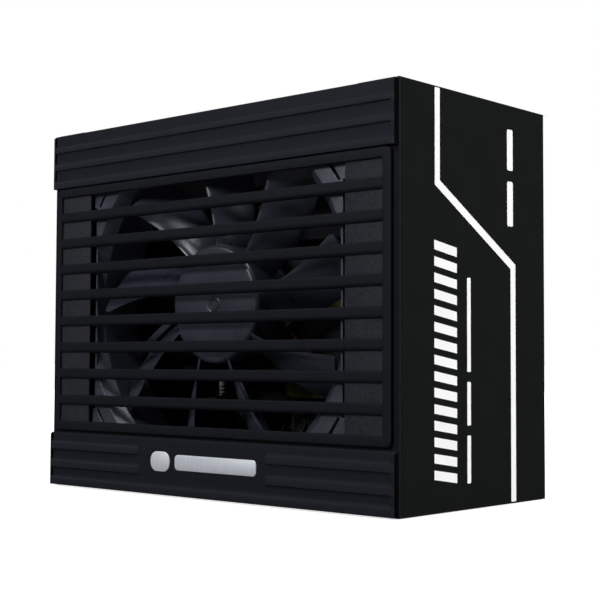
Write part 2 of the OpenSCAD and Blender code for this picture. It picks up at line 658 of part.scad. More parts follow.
// round capacitor at [x, z], grooved near the board and scored on its front end
module can(at, y, r) difference() {
  rod_y(at, y, r);
  translate([at[0], y[1] - 3.2, at[1]]) rotate([90, 0, 0]) rotate_extrude($fn = 48)
    translate([r + 0.35, 0]) circle(0.8, $fn = 16);
  for (a = [45, 135]) translate([at[0], y[0] - 0.5, at[1]]) rotate([0, a, 0])
    translate([-r * 0.7, 0, -0.2]) cube([r * 1.4, 0.7, 0.4]);
}
module bulk_capacitor() {
  color([0.12, 0.14, 0.2]) can(bulk_at, [seat_y - bulk_cap_h, seat_y], bulk_cap_r);
  color([0.8, 0.8, 0.8])
    for (p = bulk_leads) rod_y(p, [board_y - 0.3, board_y + 2.8], 0.6);
}
module output_capacitors() color([0.25, 0.25, 0.4]) for (i = [0:9])
  can([-44 + i * 9.2, 18.5], [board_y - 12.2 - (i % 3) * 1.6, seat_y], out_cap_r);

// flat power package with three leads; its back is at height at[2] and it
// stands out from there along side * z; size is [width, length, thickness]
module package(at, side, size) {
  x = at[0];
  y = at[1];
  z = at[2];
  front_z = z + side * size[2];
  color(chip_black) difference() {
    box(about(x, size[0] / 2), about(y, size[1] / 2), [min(z, front_z), max(z, front_z)]);
    translate([x, y - size[1] / 2 + 3, z]) cylinder(r = 1.7, h = 20, center = true, $fn = 32);
  }
  color([0.75, 0.75, 0.75]) for (i = [-1:1])
    box(about(x + i * size[0] / 4, 0.4), [y + size[1] / 2 - 0.2, seat_y],
        about((z + front_z) / 2, 0.25));
}
transistor_x = [-4, 8, 20];
module bridge_rectifier() package([4, 9, 59.65], 1, [22, 17, 3.8]);
module power_transistors()
  for (x = transistor_x) package([x, 9, 57.35], -1, [10, 15, 4.2]);
module output_rectifiers()
  for (x = [-14, 0, 38, 49]) package([x, 15, 24.5], -1, [9, 13, 1.2]);

// plate whose underside is at z, with fins above it (side 1) or below it (side -1)
module heatsink(x, y, z, side, fins) {
  box(x, y, [z, z + 2.1]);
  for (i = [0:fins - 1]) let (fin_y = y[0] + i * 2.6)
    box(x, [fin_y, fin_y + 1], side > 0 ? [z + 2, z + 4.6] : [z - 2.6, z + 0.1]);
}
module primary_heatsink() color(dark_metal) difference() {
  union() {
    heatsink([-9, 16], [-10, 25.2], z = 57.45, side = 1, fins = 4);
    heatsink([15.9, 27], [-10, 15], z = 57.45, side = 1, fins = 4);
  }
  for (x = transistor_x) rod_z([x, 4.5], [50, 70], 1.5);
}
module secondary_heatsink() color(dark_metal)
  heatsink([-24, 51.5], [2, 25.4], z = 24.6, side = -1, fins = 3);

// rectangular core: a frame around a window, with a middle leg
module framed_core(frame, window, leg) {
  block_with_hole(frame, window);
  block(leg);
}
module pfc_choke() {
  color(dark_metal) framed_core(
    frame = [[1.5, 25.5], [-7, 25.8], [67, 92]],
    window = [[5.6, 21.4], [-2.6, 21.4], [60, 100]],
    leg = [[9.4, 17.6], [-2.7, 21.5], [73.4, 85.6]]);
  color(winding_amber) block_with_hole(
    [[5.7, 21.3], [-2.5, 21.3], [69.4, 89.6]],
    [[9.3, 17.7], [-3, 22], [73.3, 85.7]]);
}
module standby_transformer() {
  color(dark_metal) framed_core(
    frame = [[-25, -8], [8, 25.8], [34, 41]],
    window = [[-22.4, -10.6], [10.6, 23.4], [30, 45]],
    leg = [[-18.6, -14.4], [10.5, 23.5], [35.5, 39.5]]);
  color([0.88, 0.74, 0.15]) block_with_hole(
    [[-22.3, -10.7], [11, 23], [31.4, 43.6]],
    [[-18.7, -14.3], [9, 25], [35.4, 39.6]]);
}
module resonant_choke() {
  color(dark_metal) framed_core(
    frame = [[37, 57], [4, 25.8], [38, 52]],
    window = [[40, 54], [7, 22.8], [30, 60]],
    leg = [[44, 50], [6.9, 22.9], [41, 49]]);
  color(winding_amber) block_with_hole(
    [[40.1, 53.9], [7.2, 22.6], [37.4, 52.6]],
    [[43.9, 50.1], [6, 24], [40.9, 49.1]]);
}

module transformer_core() color([0.19, 0.19, 0.2]) difference() {
  framed_core(
    frame = [[-2, 30], [-9, 25.6], [33.6, 46.4]],
    window = [[3, 25], [-4, 20.6], [30, 50]],
    leg = [[9.6, 18.4], [-4.1, 20.7], [35.4, 44.6]]);
  // small notches along both sides at the front
  for (x = [-2, 30]) translate([x, -9, 40]) rotate([0, 45, 0])
    cube([1.4, 80, 1.4], center = true);
}
module transformer_winding() {
  leg_hole = [[9.5, 18.5], [-5, 22], [35.3, 44.7]];
  color([0.85, 0.7, 0.12]) difference() {
    union() {
      prism_y([-3.9, 19.05]) rounded_rect([14, 40], [21.6, 25], 4);
      // wider margin of tape at the front end
      prism_y([-3.9, -0.5]) rounded_rect([14, 39], [21.6, 27], 3);
    }
    block(leg_hole);
  }
  color([0.12, 0.12, 0.12]) difference() {
    prism_y([19, 20.5]) rounded_rect([14, 40], [21.8, 25.8], 2);
    block(leg_hole);
  }
  // lead dressed across the face of the core
  color(wire_red) cable([
    [6, -1, 50.6], [6.5, -8, 51.2], [8.5, -11.6, 49], [10.6, -11.3, 44.4],
    [12.8, -11.2, 41.4], [16.5, -11, 38.6], [20.6, -10.9, 35.4], [22, -10.5, 32.4],
    [21.4, -7, 31], [20.6, -4.4, 30.4], [20.4, -2.5, 30]], 0.8);
}

// toroidal filter chokes, with their axes along x
choke_x = [-50, -32];
choke_at = [14.2, 57.6];             // axis as [y, z]
module filter_choke_cores() color([0.12, 0.3, 0.14]) for (x = choke_x) difference() {
  rod_x(choke_at, about(x, 3.6), 9.2);
  rod_x(choke_at, about(x, 4.6), 5);
}
// corner k (0 to 3) of a rectangular turn round the ring, at an angle about its axis
function turn_point(x, angle, k) = let (r = (k == 0 || k == 3) ? 4.0 : 10.2)
  [x + (k < 2 ? -4.6 : 4.6), choke_at[0] + r * cos(angle), choke_at[1] + r * sin(angle)];
// each half winding steps through a 128 degree sector
module filter_choke_windings() color([0.72, 0.36, 0.16])
  for (x = choke_x, half = [0, 180])
    wire([for (i = [0:choke_turns - 1], k = [0:3])
      turn_point(x, half + 26 + (i + k / 4) * 128 / choke_turns, k)], 0.75);

// box capacitors with a sunk front face; rows are [x span, z span]
module x_capacitors() color([0.16, 0.17, 0.2])
  for (c = [[[-23.4, -14.4], [50, 68]], [[-59, -41.5], [34.5, 43]]]) block_with_hole(
    [c[0], [12.5, 26], c[1]],
    [c[0] + [1, -1], [12, 12.8], c[1] + [1, -1]]);
module y_capacitors() color([0.15, 0.3, 0.62]) for (x = [-36.5, -31.5]) {
  rod_x([20.2, 40], about(x, 1.2), 4.2);
  for (i = [-2.5, 2.5]) rod_y([x, 40 + i], [22, seat_y], 0.35);
}
module film_capacitors() color([0.2, 0.08, 0.05]) for (x = [41.4, 51.8])
  prism_y([15, seat_y]) rounded_rect([x, 32.6], [8.8, 6.6], 1);
module fuse() {
  axis = [22.4, 73.8];
  color([0.85, 0.86, 0.84]) rod_x(axis, [-30, -16.5], 2.4);
  color([0.8, 0.78, 0.72]) for (x = [[-34.5, -29.9], [-16.6, -12]]) rod_x(axis, x, 2.7);
}
module relay() color([0.16, 0.2, 0.32]) difference() {
  box([-11.6, -1.6], [11, seat_y], [66.5, 76.8]);
  translate([-6.6, 10.6, 71.6]) cube([7, 1.2, 7], center = true);
}
module thermistor() color([0.1, 0.3, 0.16]) {
  translate([50, 18, 57.6]) cylinder(r = 6, h = 3.2, center = true, $fn = 48);
  for (i = [-3, 3]) rod_y([50 + i, 57.6], [22, seat_y], 0.5);
}

// small upright board with two open-bottomed blocks and three chips
module converter_board() {
  under_z = 29.55;                   // top of the parts below the board
  color(board_green) box([-52, -26.5], [3, seat_y], [29.6, 31.2]);
  color([0.25, 0.26, 0.28]) for (x = [-50, -39.4]) block_with_hole(
    [[x, x + 9], [6, 15], [24, under_z]],
    [[x + 1, x + 8], [7, 14], [23, 24.3]]);
  color(chip_black) for (x = [-49, -43, -37]) box([x, x + 4], [17, 21], [28.4, under_z]);
  // small resistor standing at the board's front corner
  color([0.8, 0.72, 0.55]) rod_z([-28.4, 4.4], [25, 29.5], 1);
}
module control_board() {
  face_x = 34.05;                    // where the parts start on the +X side
  color(board_green) box([32.4, 34], [2, seat_y], [30, 54]);
  color(chip_black) box([face_x, 35.3], [6, 14], [34, 44]);
  color([0.6, 0.45, 0.3])
    for (z = [46:2.5:52]) box([face_x, 34.9], [5, 6.4], [z, z + 1]);
}
// stepped bars between the main board and the socket board
module bus_bars() color([0.75, 0.42, 0.2]) for (x = [-46, -6, 34]) prism_x([x, x + 8])
  polygon([[23.2, 11.2], [24.2, 11.2], [24.2, 13.2], [seat_y, 13.2],
           [seat_y, 14.2], [23.2, 14.2]]);

// ---- cable sockets ----
socket_board_z = 9.5;
// the two rows of contact places of one socket, as [x, y]
function contacts(socket) = [for (i = [0:socket[2] - 1], j = [-1, 1])
  [socket[0] + (i - (socket[2] - 1) / 2) * contact_pitch,
   socket[1] + j * contact_pitch / 2]];
module socket_board() color(board_green)
  box([-56, 56], [-13.8, 29], [socket_board_z, socket_board_z + 1.6]);
// block with square cavities open downward
module socket_block(socket) difference() {
  box(about(socket[0], socket_w(socket) / 2), about(socket[1], 4.8),
      [0.1, socket_board_z - gap]);
  for (p = contacts(socket)) post(p, 3.5, [0, 7.8]);
}
module main_sockets() color(socket_black) for (s = main_set) socket_block(s);
module small_sockets() color(socket_black) for (s = small_set) socket_block(s);
module socket_contacts() color([0.8, 0.72, 0.45])
  for (s = all_sockets, p = contacts(s)) post(p, 1.1, [1.55, 7.75]);

base_shell();
cover_shell();
upper_trim();
lower_trim();
badge();
fan_grille();
right_label();
left_label();
rating_label();
cover_screws();
fan_screws();
fan_frame();
fan_rotor();
rotor_yoke();
rotor_magnet();
fan_shaft();
fan_bearing();
stator_core();
stator_coils();
fan_board();
fan_cable();
inlet_body();
inlet_pins();
switch_body();
switch_rocker();
switch_terminals();
mains_wires();
earth_lead();
earth_screw();
main_board();
insulation_sheet();
board_standoffs();
board_screws();
bulk_capacitor();
bridge_rectifier();
primary_heatsink();
power_transistors();
pfc_choke();
transformer_core();
transformer_winding();
standby_transformer();
resonant_choke();
filter_choke_cores();
filter_choke_windings();
x_capacitors();
y_capacitors();
fuse();
relay();
thermistor();
film_capacitors();
secondary_heatsink();
output_rectifiers();
output_capacitors();
converter_board();
control_board();
bus_bars();
socket_board();
main_sockets();
small_sockets();
socket_contacts();
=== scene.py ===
import bpy, bmesh, json, math, random
from mathutils import Vector, Matrix

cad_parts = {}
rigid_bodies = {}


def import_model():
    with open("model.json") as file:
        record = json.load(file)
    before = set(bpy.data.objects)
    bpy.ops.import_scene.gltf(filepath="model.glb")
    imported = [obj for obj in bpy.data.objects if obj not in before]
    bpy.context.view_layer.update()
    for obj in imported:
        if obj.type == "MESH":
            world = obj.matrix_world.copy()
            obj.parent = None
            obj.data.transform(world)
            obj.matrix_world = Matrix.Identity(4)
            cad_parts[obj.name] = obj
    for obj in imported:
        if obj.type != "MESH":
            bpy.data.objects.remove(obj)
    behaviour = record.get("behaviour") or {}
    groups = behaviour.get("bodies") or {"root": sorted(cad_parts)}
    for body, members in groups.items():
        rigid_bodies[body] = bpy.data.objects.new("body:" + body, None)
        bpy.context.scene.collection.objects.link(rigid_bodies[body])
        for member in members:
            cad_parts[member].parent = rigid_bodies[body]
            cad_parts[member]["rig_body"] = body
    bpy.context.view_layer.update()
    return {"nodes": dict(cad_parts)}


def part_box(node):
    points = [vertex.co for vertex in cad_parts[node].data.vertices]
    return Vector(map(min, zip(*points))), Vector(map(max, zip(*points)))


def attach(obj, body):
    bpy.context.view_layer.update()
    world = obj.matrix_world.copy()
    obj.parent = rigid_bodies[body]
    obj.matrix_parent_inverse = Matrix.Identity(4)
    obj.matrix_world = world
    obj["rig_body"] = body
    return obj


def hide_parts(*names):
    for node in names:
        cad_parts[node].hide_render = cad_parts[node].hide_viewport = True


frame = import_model()
N = frame["nodes"]
MM = 0.001
R = math.radians


def bx(node):
    lo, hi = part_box(node)
    return [c / MM for c in lo], [c / MM for c in hi]


# ------------------------------------------------------------------ materials
class Nodes:
    def __init__(self, name):
        self.m = bpy.data.materials.new(name)
        self.m.use_nodes = True
        self.t = self.m.node_tree
        self.t.nodes.clear()
        self.out = self.add("ShaderNodeOutputMaterial")
        self.p = self.add("ShaderNodeBsdfPrincipled")
        self.t.links.new(self.p.outputs["BSDF"], self.out.inputs["Surface"])
        self.coord = self.add("ShaderNodeTexCoord").outputs["Object"]

    def add(self, kind, **kw):
        n = self.t.nodes.new(kind)
        for k, v in kw.items():
            if isinstance(k, str) and hasattr(n, k):
                setattr(n, k, v)
        return n

    def link(self, a, b):
        self.t.links.new(a, b)

    def set(self, n, **kw):
        for k, v in kw.items():
            n.inputs[k.replace("_", " ")].default_value = v
        return n

    def stretch(self, sx=1, sy=1, sz=1, rot=(0, 0, 0)):
        mp = self.add("ShaderNodeMapping")
        mp.inputs["Scale"].default_value = (sx, sy, sz)
        mp.inputs["Rotation"].default_value = rot
        self.link(self.coord, mp.inputs["Vector"])
        return mp.outputs["Vector"]

    def noise(self, size_mm, detail=3.0, rough=0.55, vec=None, distort=0.0):
        n = self.add("ShaderNodeTexNoise")
        n.inputs["Scale"].default_value = 1.0 / (size_mm * MM)
        n.inputs["Detail"].default_value = detail
        n.inputs["Roughness"].default_value = rough
        n.inputs["Distortion"].default_value = distort
        self.link(vec if vec else self.coord, n.inputs["Vector"])
        return n.outputs["Fac"]

    def voronoi(self, size_mm, vec=None, feature="F1", rand=1.0):
        n = self.add("ShaderNodeTexVoronoi", feature=feature)
        n.inputs["Scale"].default_value = 1.0 / (size_mm * MM)
        n.inputs["Randomness"].default_value = rand
        self.link(vec if vec else self.coord, n.inputs["Vector"])
        return n.outputs["Distance"]

    def ramp(self, fac, *stops, smooth="LINEAR"):
        r = self.add("ShaderNodeValToRGB")
        r.color_ramp.interpolation = smooth
        els = r.color_ramp.elements
        while len(els) < len(stops):
            els.new(0.5)
        for e, (pos, col) in zip(els, stops):
            e.position = pos
            c = (col, col, col) if isinstance(col, (int, float)) else col
            e.color = (*c[:3], 1)
        self.link(fac, r.inputs["Fac"])
        return r.outputs["Color"]

    def mix(self, fac, a, b, mode="MIX"):
        n = self.add("ShaderNodeMix")
        n.data_type = "RGBA"
        n.blend_type = mode
        for i, v in ((0, fac), (6, a), (7, b)):
            sock = n.inputs[i]
            if isinstance(v, bpy.types.NodeSocket):
                self.link(v, sock)
            elif isinstance(v, (int, float)):
                sock.default_value = v if i == 0 else (v, v, v, 1)
            else:
                sock.default_value = (*v[:3], 1)
        return n.outputs[2]

    def math(self, op, a, b=0.0, clamp=False):
        n = self.add("ShaderNodeMath", operation=op)
        n.use_clamp = clamp
        for sock, v in ((n.inputs[0], a), (n.inputs[1], b)):
            if isinstance(v, bpy.types.NodeSocket):
                self.link(v, sock)
            else:
                sock.default_value = v
        return n.outputs[0]

    def axis(self, which):
        s = self.add("ShaderNodeSeparateXYZ")
        self.link(self.coord, s.inputs[0])
        return s.outputs[which]

    def normal_axis(self, which):
        g = self.add("ShaderNodeNewGeometry")
        s = self.add("ShaderNodeSeparateXYZ")
        self.link(g.outputs["Normal"], s.inputs[0])
        return s.outputs[which]

    def bump(self, height, dist_mm, strength=1.0, under=None):
        b = self.add("ShaderNodeBump")
        b.inputs["Strength"].default_value = strength
        b.inputs["Distance"].default_value = dist_mm * MM
        self.link(height, b.inputs["Height"])
        if under is not None:
            self.link(under, b.inputs["Normal"])
        self.link(b.outputs["Normal"], self.p.inputs["Normal"])
        return b.outputs["Normal"]

    def edges(self, radius_mm):
        # 0 on flat faces, towards 1 on tight edges
        b = self.add("ShaderNodeBevel", samples=4)
        b.inputs["Radius"].default_value = radius_mm * MM
        g = self.add("ShaderNodeNewGeometry")
        d = self.add("ShaderNodeVectorMath", operation="DOT_PRODUCT")
        self.link(b.outputs["Normal"], d.inputs[0])
        self.link(g.outputs["Normal"], d.inputs[1])
        return self.ramp(d.outputs["Value"], (0.80, 1.0), (0.985, 0.0))

    def principled(self, color=None, rough=None, metal=0.0, spec=0.5, coat=0.0, **kw):
        p = self.p
        for key, v in (("Base Color", color), ("Roughness", rough)):
            if v is None:
                continue
            if isinstance(v, bpy.types.NodeSocket):
                self.link(v, p.inputs[key])
            elif isinstance(v, (int, float)):
                p.inputs[key].default_value = v
            else:
                p.inputs[key].default_value = (*v[:3], 1)
        p.inputs["Metallic"].default_value = metal
        p.inputs["Specular IOR Level"].default_value = spec
        p.inputs["Coat Weight"].default_value = coat
        for k, v in kw.items():
            p.inputs[k.replace("_", " ")].default_value = v
        return self.m


def powder(name, base, light, grain, bump_mm, rough=(0.45, 0.62), spec=0.32, wear=0.5):
    n = Nodes(name)
    fine = n.noise(grain, 4.0, 0.65)
    coarse = n.noise(grain * 14, 2.0, 0.5)
    cells = n.voronoi(grain * 1.7)
    tone = n.mix(n.ramp(fine, (0.36, 0.0), (0.7, 1.0)), base, light)
    tone = n.mix(n.math("MULTIPLY", n.ramp(coarse, (0.3, 0.0), (0.75, 1.0)), 0.35), tone, light)
    if wear:
        edge = n.math("MULTIPLY", n.edges(0.22), n.ramp(n.noise(0.7, 3.0), (0.35, 0.35), (0.7, 1.0)))
        tone = n.mix(n.math("MULTIPLY", edge, wear), tone, [c * 3.2 for c in light])
    height = n.math("ADD", n.math("MULTIPLY", fine, 0.7), n.math("MULTIPLY", cells, 0.5))
    n.bump(height, bump_mm, 0.9)
    return n.principled(tone, n.ramp(fine, (0.3, rough[0]), (0.75, rough[1])), spec=spec)


def plastic(name, base, light, grain=0.16, bump_mm=0.006, rough=(0.38, 0.52), spec=0.4, dust=0.0, wear=0.0):
    n = Nodes(name)
    fine = n.noise(grain, 3.0, 0.6)
    flow = n.noise(9.0, 2.0, 0.5, distort=0.6)
    tone = n.mix(n.ramp(flow, (0.3, 0.0), (0.72, 1.0)), base, light)
    tone = n.mix(n.math("MULTIPLY", fine, 0.25), tone, light)
    if dust:
        spots = n.ramp(n.noise(0.5, 5.0, 0.7), (0.60, 0.0), (0.72, 1.0))
        tone = n.mix(n.math("MULTIPLY", spots, dust), tone, (0.28, 0.27, 0.25))
    if wear:
        tone = n.mix(n.math("MULTIPLY", n.edges(0.2), wear), tone, [c * 2.6 for c in light])
    n.bump(n.math("ADD", fine, n.math("MULTIPLY", flow, 0.4)), bump_mm, 0.8)
    return n.principled(tone, n.ramp(flow, (0.3, rough[0]), (0.7, rough[1])), spec=spec)


def metal(name, base, light, rough=(0.22, 0.42), brush=(1, 1, 1), grain=0.25, bump_mm=0.004, metallic=1.0, tarnish=0.25):
    n = Nodes(name)
    vec = n.stretch(*brush)
    fine = n.noise(grain, 4.0, 0.6, vec=vec)
    patch = n.noise(5.0, 3.0, 0.55)
    tone = n.mix(n.ramp(fine, (0.3, 0.0), (0.7, 1.0)), base, light)
    tone = n.mix(n.math("MULTIPLY", n.ramp(patch, (0.45, 0.0), (0.75, 1.0)), tarnish), tone, [c * 0.45 for c in base])
    n.bump(fine, bump_mm, 0.7)
    return n.principled(tone, n.ramp(fine, (0.3, rough[0]), (0.75, rough[1])), metal=metallic, spec=0.5)


def board_mat(name, base, light):
    # solder mask with copper tracks faintly showing and small solder dots
    n = Nodes(name)
    v = n.stretch(1, 1, 1)
    tracks = n.add("ShaderNodeTexBrick")
    n.link(v, tracks.inputs["Vector"])
    tracks.inputs["Scale"].default_value = 1 / (9 * MM)
    weave = n.noise(0.35, 2.0, 0.5)
    routes = n.voronoi(5.5, feature="DISTANCE_TO_EDGE")
    line = n.ramp(routes, (0.05, 1.0), (0.09, 0.0))
    tone = n.mix(n.ramp(weave, (0.35, 0.0), (0.7, 1.0)), base, light)
    tone = n.mix(n.math("MULTIPLY", line, 0.55), tone, [c * 2.2 for c in light])
    dots = n.ramp(n.voronoi(2.6), (0.10, 1.0), (0.14, 0.0))
    tone = n.mix(n.math("MULTIPLY", dots, 0.6), tone, (0.42, 0.42, 0.40))
    n.bump(n.math("ADD", line, n.math("MULTIPLY", weave, 0.2)), 0.02, 0.6)
    return n.principled(tone, 0.32, spec=0.5)


def winding_mat(name, base, light, pitch=0.62, axis="z"):
    # close-wound wire: fine parallel ridges, with painted shade in the grooves between turns
    n = Nodes(name)
    w = n.add("ShaderNodeTexWave", wave_type="BANDS", bands_direction={"x": "X", "y": "Y", "z": "Z"}[axis])
    w.inputs["Scale"].default_value = 1 / (pitch * MM) * 0.32
    w.inputs["Distortion"].default_value = 0.25
    w.inputs["Detail"].default_value = 1.0
    n.link(n.coord, w.inputs["Vector"])
    f = w.outputs["Fac"]
    # dark bands at 0.35 of the base: painted shade between the turns
    tone = n.mix(f, [c * 0.35 for c in base], light)
    tone = n.mix(n.math("MULTIPLY", n.noise(1.2, 3.0), 0.3), tone, base)
    n.bump(f, 0.12, 0.8)
    return n.principled(tone, 0.3, metal=0.35, spec=0.5, coat=0.35)


def tape_mat(name, base, light):
    n = Nodes(name)
    wrap = n.noise(2.2, 3.0, 0.55, vec=n.stretch(1, 1, 0.12))
    fine = n.noise(0.25, 2.0)
    tone = n.mix(n.ramp(wrap, (0.3, 0.0), (0.7, 1.0)), base, light)
    n.bump(n.math("ADD", wrap, n.math("MULTIPLY", fine, 0.15)), 0.09, 0.7)
    return n.principled(tone, n.ramp(wrap, (0.3, 0.28), (0.7, 0.45)), spec=0.45)


COAT = powder("powder_coat", (0.0083, 0.0087, 0.0113), (0.0144, 0.0151, 0.0189), 0.30, 0.035, spec=0.07, wear=0.2)
COAT_TRIM = powder("powder_coat_trim", (0.0108, 0.0113, 0.0150), (0.0174, 0.0180, 0.0231), 0.26, 0.022,
                   rough=(0.5, 0.62), spec=0.07, wear=0.15)
# lighter copy of the trim coat for the raised ribs: painted light on the rib faces
COAT_RIB_LIT = powder("powder_coat_ribs_painted_light", (0.0167, 0.0174, 0.0219), (0.0254, 0.0261, 0.0318), 0.26, 0.022,
                  rough=(0.5, 0.62), spec=0.07, wear=0.15)
COAT_PAD = powder("powder_coat_pads", (0.0095, 0.0098, 0.0125), (0.029, 0.030, 0.036), 0.62, 0.11,
                  rough=(0.5, 0.7), spec=0.2, wear=0)
SHEET = powder("powder_coat_sheet", (0.0050, 0.0056, 0.0060), (0.0085, 0.0092, 0.0098), 0.34, 0.03, rough=(0.55, 0.7), spec=0.08, wear=0.12)
# near-black copy of the coat for the strip and grille end faces: painted shade, darker than any real paint
COAT_SHADED_EDGE = powder("painted_shade_edges", (0.0006, 0.0007, 0.0013), (0.0013, 0.0014, 0.0022), 0.3, 0.02, rough=(0.7, 0.8), spec=0.02, wear=0)
LABEL = plastic("label_film", (0.0082, 0.0094, 0.0088), (0.0094, 0.0107, 0.0100), 0.5, 0.0018, rough=(0.6, 0.68), spec=0.0)
WHITE = plastic("label_white_ink", (0.88, 0.88, 0.88), (0.93, 0.93, 0.93), 0.35, 0.0015, rough=(0.5, 0.6), spec=0.3)
RATING = plastic("rating_film", (0.44, 0.44, 0.43), (0.55, 0.55, 0.53), 0.6, 0.003, rough=(0.35, 0.45))
INK = plastic("rating_ink", (0.02, 0.02, 0.022), (0.035, 0.035, 0.035), 0.3, 0.001, rough=(0.5, 0.6))
BADGE = metal("badge_silver", (0.80, 0.81, 0.82), (0.92, 0.92, 0.93), rough=(0.4, 0.55), brush=(1, 1, 0.05), grain=0.2,
              metallic=0.25, tarnish=0.03)
FAN = plastic("fan_plastic", (0.034, 0.038, 0.052), (0.046, 0.051, 0.068), 0.14, 0.008, rough=(0.26, 0.36), spec=0.5, dust=0.012)
FANF = plastic("fan_frame_plastic", (0.036, 0.040, 0.053), (0.050, 0.055, 0.070), 0.18, 0.010, rough=(0.32, 0.46), spec=0.45, dust=0.012)
BLACK = plastic("black_moulding", (0.008, 0.008, 0.009), (0.016, 0.016, 0.018), 0.14, 0.008, rough=(0.36, 0.5), spec=0.45, wear=0.4)
ROCKER = plastic("rocker_moulding", (0.007, 0.007, 0.008), (0.013, 0.013, 0.014), 0.3, 0.004, rough=(0.2, 0.3), spec=0.5, wear=0.4)
PAINT = plastic("mark_paint", (0.7, 0.7, 0.68), (0.8, 0.8, 0.78), 0.2, 0.003)
SCREW = metal("black_oxide_steel", (0.03, 0.03, 0.032), (0.07, 0.07, 0.075), rough=(0.3, 0.5), tarnish=0.1)
PLATED = metal("plated_steel", (0.52, 0.53, 0.54), (0.66, 0.67, 0.68), brush=(1, 1, 0.2))
TIN = metal("tinned_brass", (0.66, 0.60, 0.44), (0.80, 0.76, 0.62), rough=(0.2, 0.36))
BRASS = metal("brass", (0.60, 0.42, 0.16), (0.74, 0.56, 0.27), rough=(0.22, 0.4))
ALU = metal("black_anodised", (0.020, 0.020, 0.022), (0.038, 0.038, 0.041), rough=(0.35, 0.5), brush=(0.15, 1, 1), metallic=0.6)
COPPER = metal("copper_strip", (0.62, 0.26, 0.12), (0.80, 0.42, 0.24), rough=(0.25, 0.45))
WIND_X = winding_mat("enamelled_winding", (0.34, 0.14, 0.04), (0.66, 0.32, 0.10), 0.6, "y")
WIRE_CU = metal("enamelled_wire", (0.40, 0.14, 0.05), (0.62, 0.28, 0.12), rough=(0.2, 0.32), metallic=0.8)
FERRITE = plastic("ferrite", (0.009, 0.009, 0.010), (0.018, 0.018, 0.019), 0.35, 0.02, rough=(0.6, 0.75), spec=0.15, wear=0.3)
CORE_GREEN = plastic("core_coating", (0.012, 0.05, 0.02), (0.02, 0.085, 0.035), 0.5, 0.02, rough=(0.3, 0.45), spec=0.5)
BOARD = board_mat("green_board", (0.006, 0.030, 0.012), (0.010, 0.048, 0.020))
TAPE = tape_mat("yellow_tape", (0.11, 0.09, 0.018), (0.17, 0.14, 0.03))
FILM = plastic("insulating_film", (0.50, 0.49, 0.44), (0.62, 0.61, 0.56), 0.6, 0.003, rough=(0.2, 0.3))
BLUE = plastic("blue_dip", (0.02, 0.08, 0.30), (0.03, 0.12, 0.42), 0.4, 0.01, rough=(0.2, 0.35), spec=0.5)
RED = plastic("brown_dip", (0.035, 0.014, 0.009), (0.060, 0.024, 0.014), 0.4, 0.01, rough=(0.2, 0.35), spec=0.5)
YCAP = plastic("grey_case", (0.022, 0.025, 0.031), (0.036, 0.040, 0.050), 0.4, 0.006, rough=(0.3, 0.42))
RELAY = plastic("relay_case", (0.02, 0.035, 0.09), (0.03, 0.05, 0.12), 0.3, 0.005, rough=(0.25, 0.4))
NTC = plastic("thermistor_coat", (0.02, 0.07, 0.03), (0.03, 0.10, 0.05), 0.4, 0.02, rough=(0.35, 0.5))
W_RED = plastic("wire_red", (0.10, 0.006, 0.012), (0.16, 0.014, 0.02), 0.3, 0.004, rough=(0.22, 0.34))
W_BLACK = plastic("wire_black", (0.012, 0.012, 0.012), (0.022, 0.022, 0.022), 0.3, 0.004, rough=(0.3, 0.42))
W_BROWN = plastic("wire_brown", (0.10, 0.035, 0.012), (0.14, 0.055, 0.02), 0.3, 0.004, rough=(0.3, 0.42))
W_BLUE = plastic("wire_blue", (0.012, 0.05, 0.28), (0.02, 0.08, 0.36), 0.3, 0.004, rough=(0.3, 0.42))
W_GREEN = plastic("wire_green", (0.03, 0.20, 0.03), (0.05, 0.27, 0.05), 0.3, 0.004, rough=(0.3, 0.42))
PLUG = plastic("plug_nylon", (0.55, 0.53, 0.46), (0.66, 0.64, 0.56), 0.3, 0.004, rough=(0.35, 0.5))


def sleeve_mat():
    # shrunk sleeve: dark blue skin mottled lighter by noise, bare aluminium on the end face
    n = Nodes("capacitor_sleeve")
    fine = n.noise(0.8, 2.0)
    tone = n.mix(fine, (0.012, 0.016, 0.045), (0.022, 0.028, 0.07))
    face = n.ramp(n.math("MULTIPLY", n.normal_axis(1), -1.0), (0.7, 0.0), (0.9, 1.0))
    tone = n.mix(face, tone, (0.075, 0.075, 0.08))
    n.bump(fine, 0.01, 0.5)
    n.link(n.math("MULTIPLY", face, 0.9), n.p.inputs["Metallic"])
    m = n.principled(tone, n.ramp(fine, (0.3, 0.25), (0.7, 0.38)), spec=0.5)
    n.link(n.math("MULTIPLY", face, 0.9), n.p.inputs["Metallic"])
    return m


SLEEVE = sleeve_mat()


def resistor_mat():
    # pale body with plain colour bands round it
    n = Nodes("banded_resistor")
    fine = n.noise(0.4, 2.0)
    z = n.math("MULTIPLY", n.math("SUBTRACT", n.axis(2), 0.025), 1 / 0.0045)
    bands = n.ramp(z, (0.0, (0.62, 0.60, 0.52)), (0.14, (0.62, 0.60, 0.52)), (0.15, (0.05, 0.03, 0.02)), (0.24, (0.05, 0.03, 0.02)),
                   (0.25, (0.62, 0.60, 0.52)), (0.36, (0.62, 0.60, 0.52)), (0.37, (0.06, 0.03, 0.10)), (0.46, (0.06, 0.03, 0.10)),
                   (0.47, (0.62, 0.60, 0.52)), (0.6, (0.62, 0.60, 0.52)), (0.61, (0.10, 0.05, 0.02)), (0.7, (0.10, 0.05, 0.02)),
                   (0.71, (0.62, 0.60, 0.52)), smooth="CONSTANT")
    n.bump(fine, 0.008, 0.5)
    return n.principled(n.mix(n.math("MULTIPLY", fine, 0.2), bands, (0.4, 0.38, 0.32)), 0.35, spec=0.5)


RESISTOR = resistor_mat()

# ------------------------------------------------------------------ mesh helpers
made = []


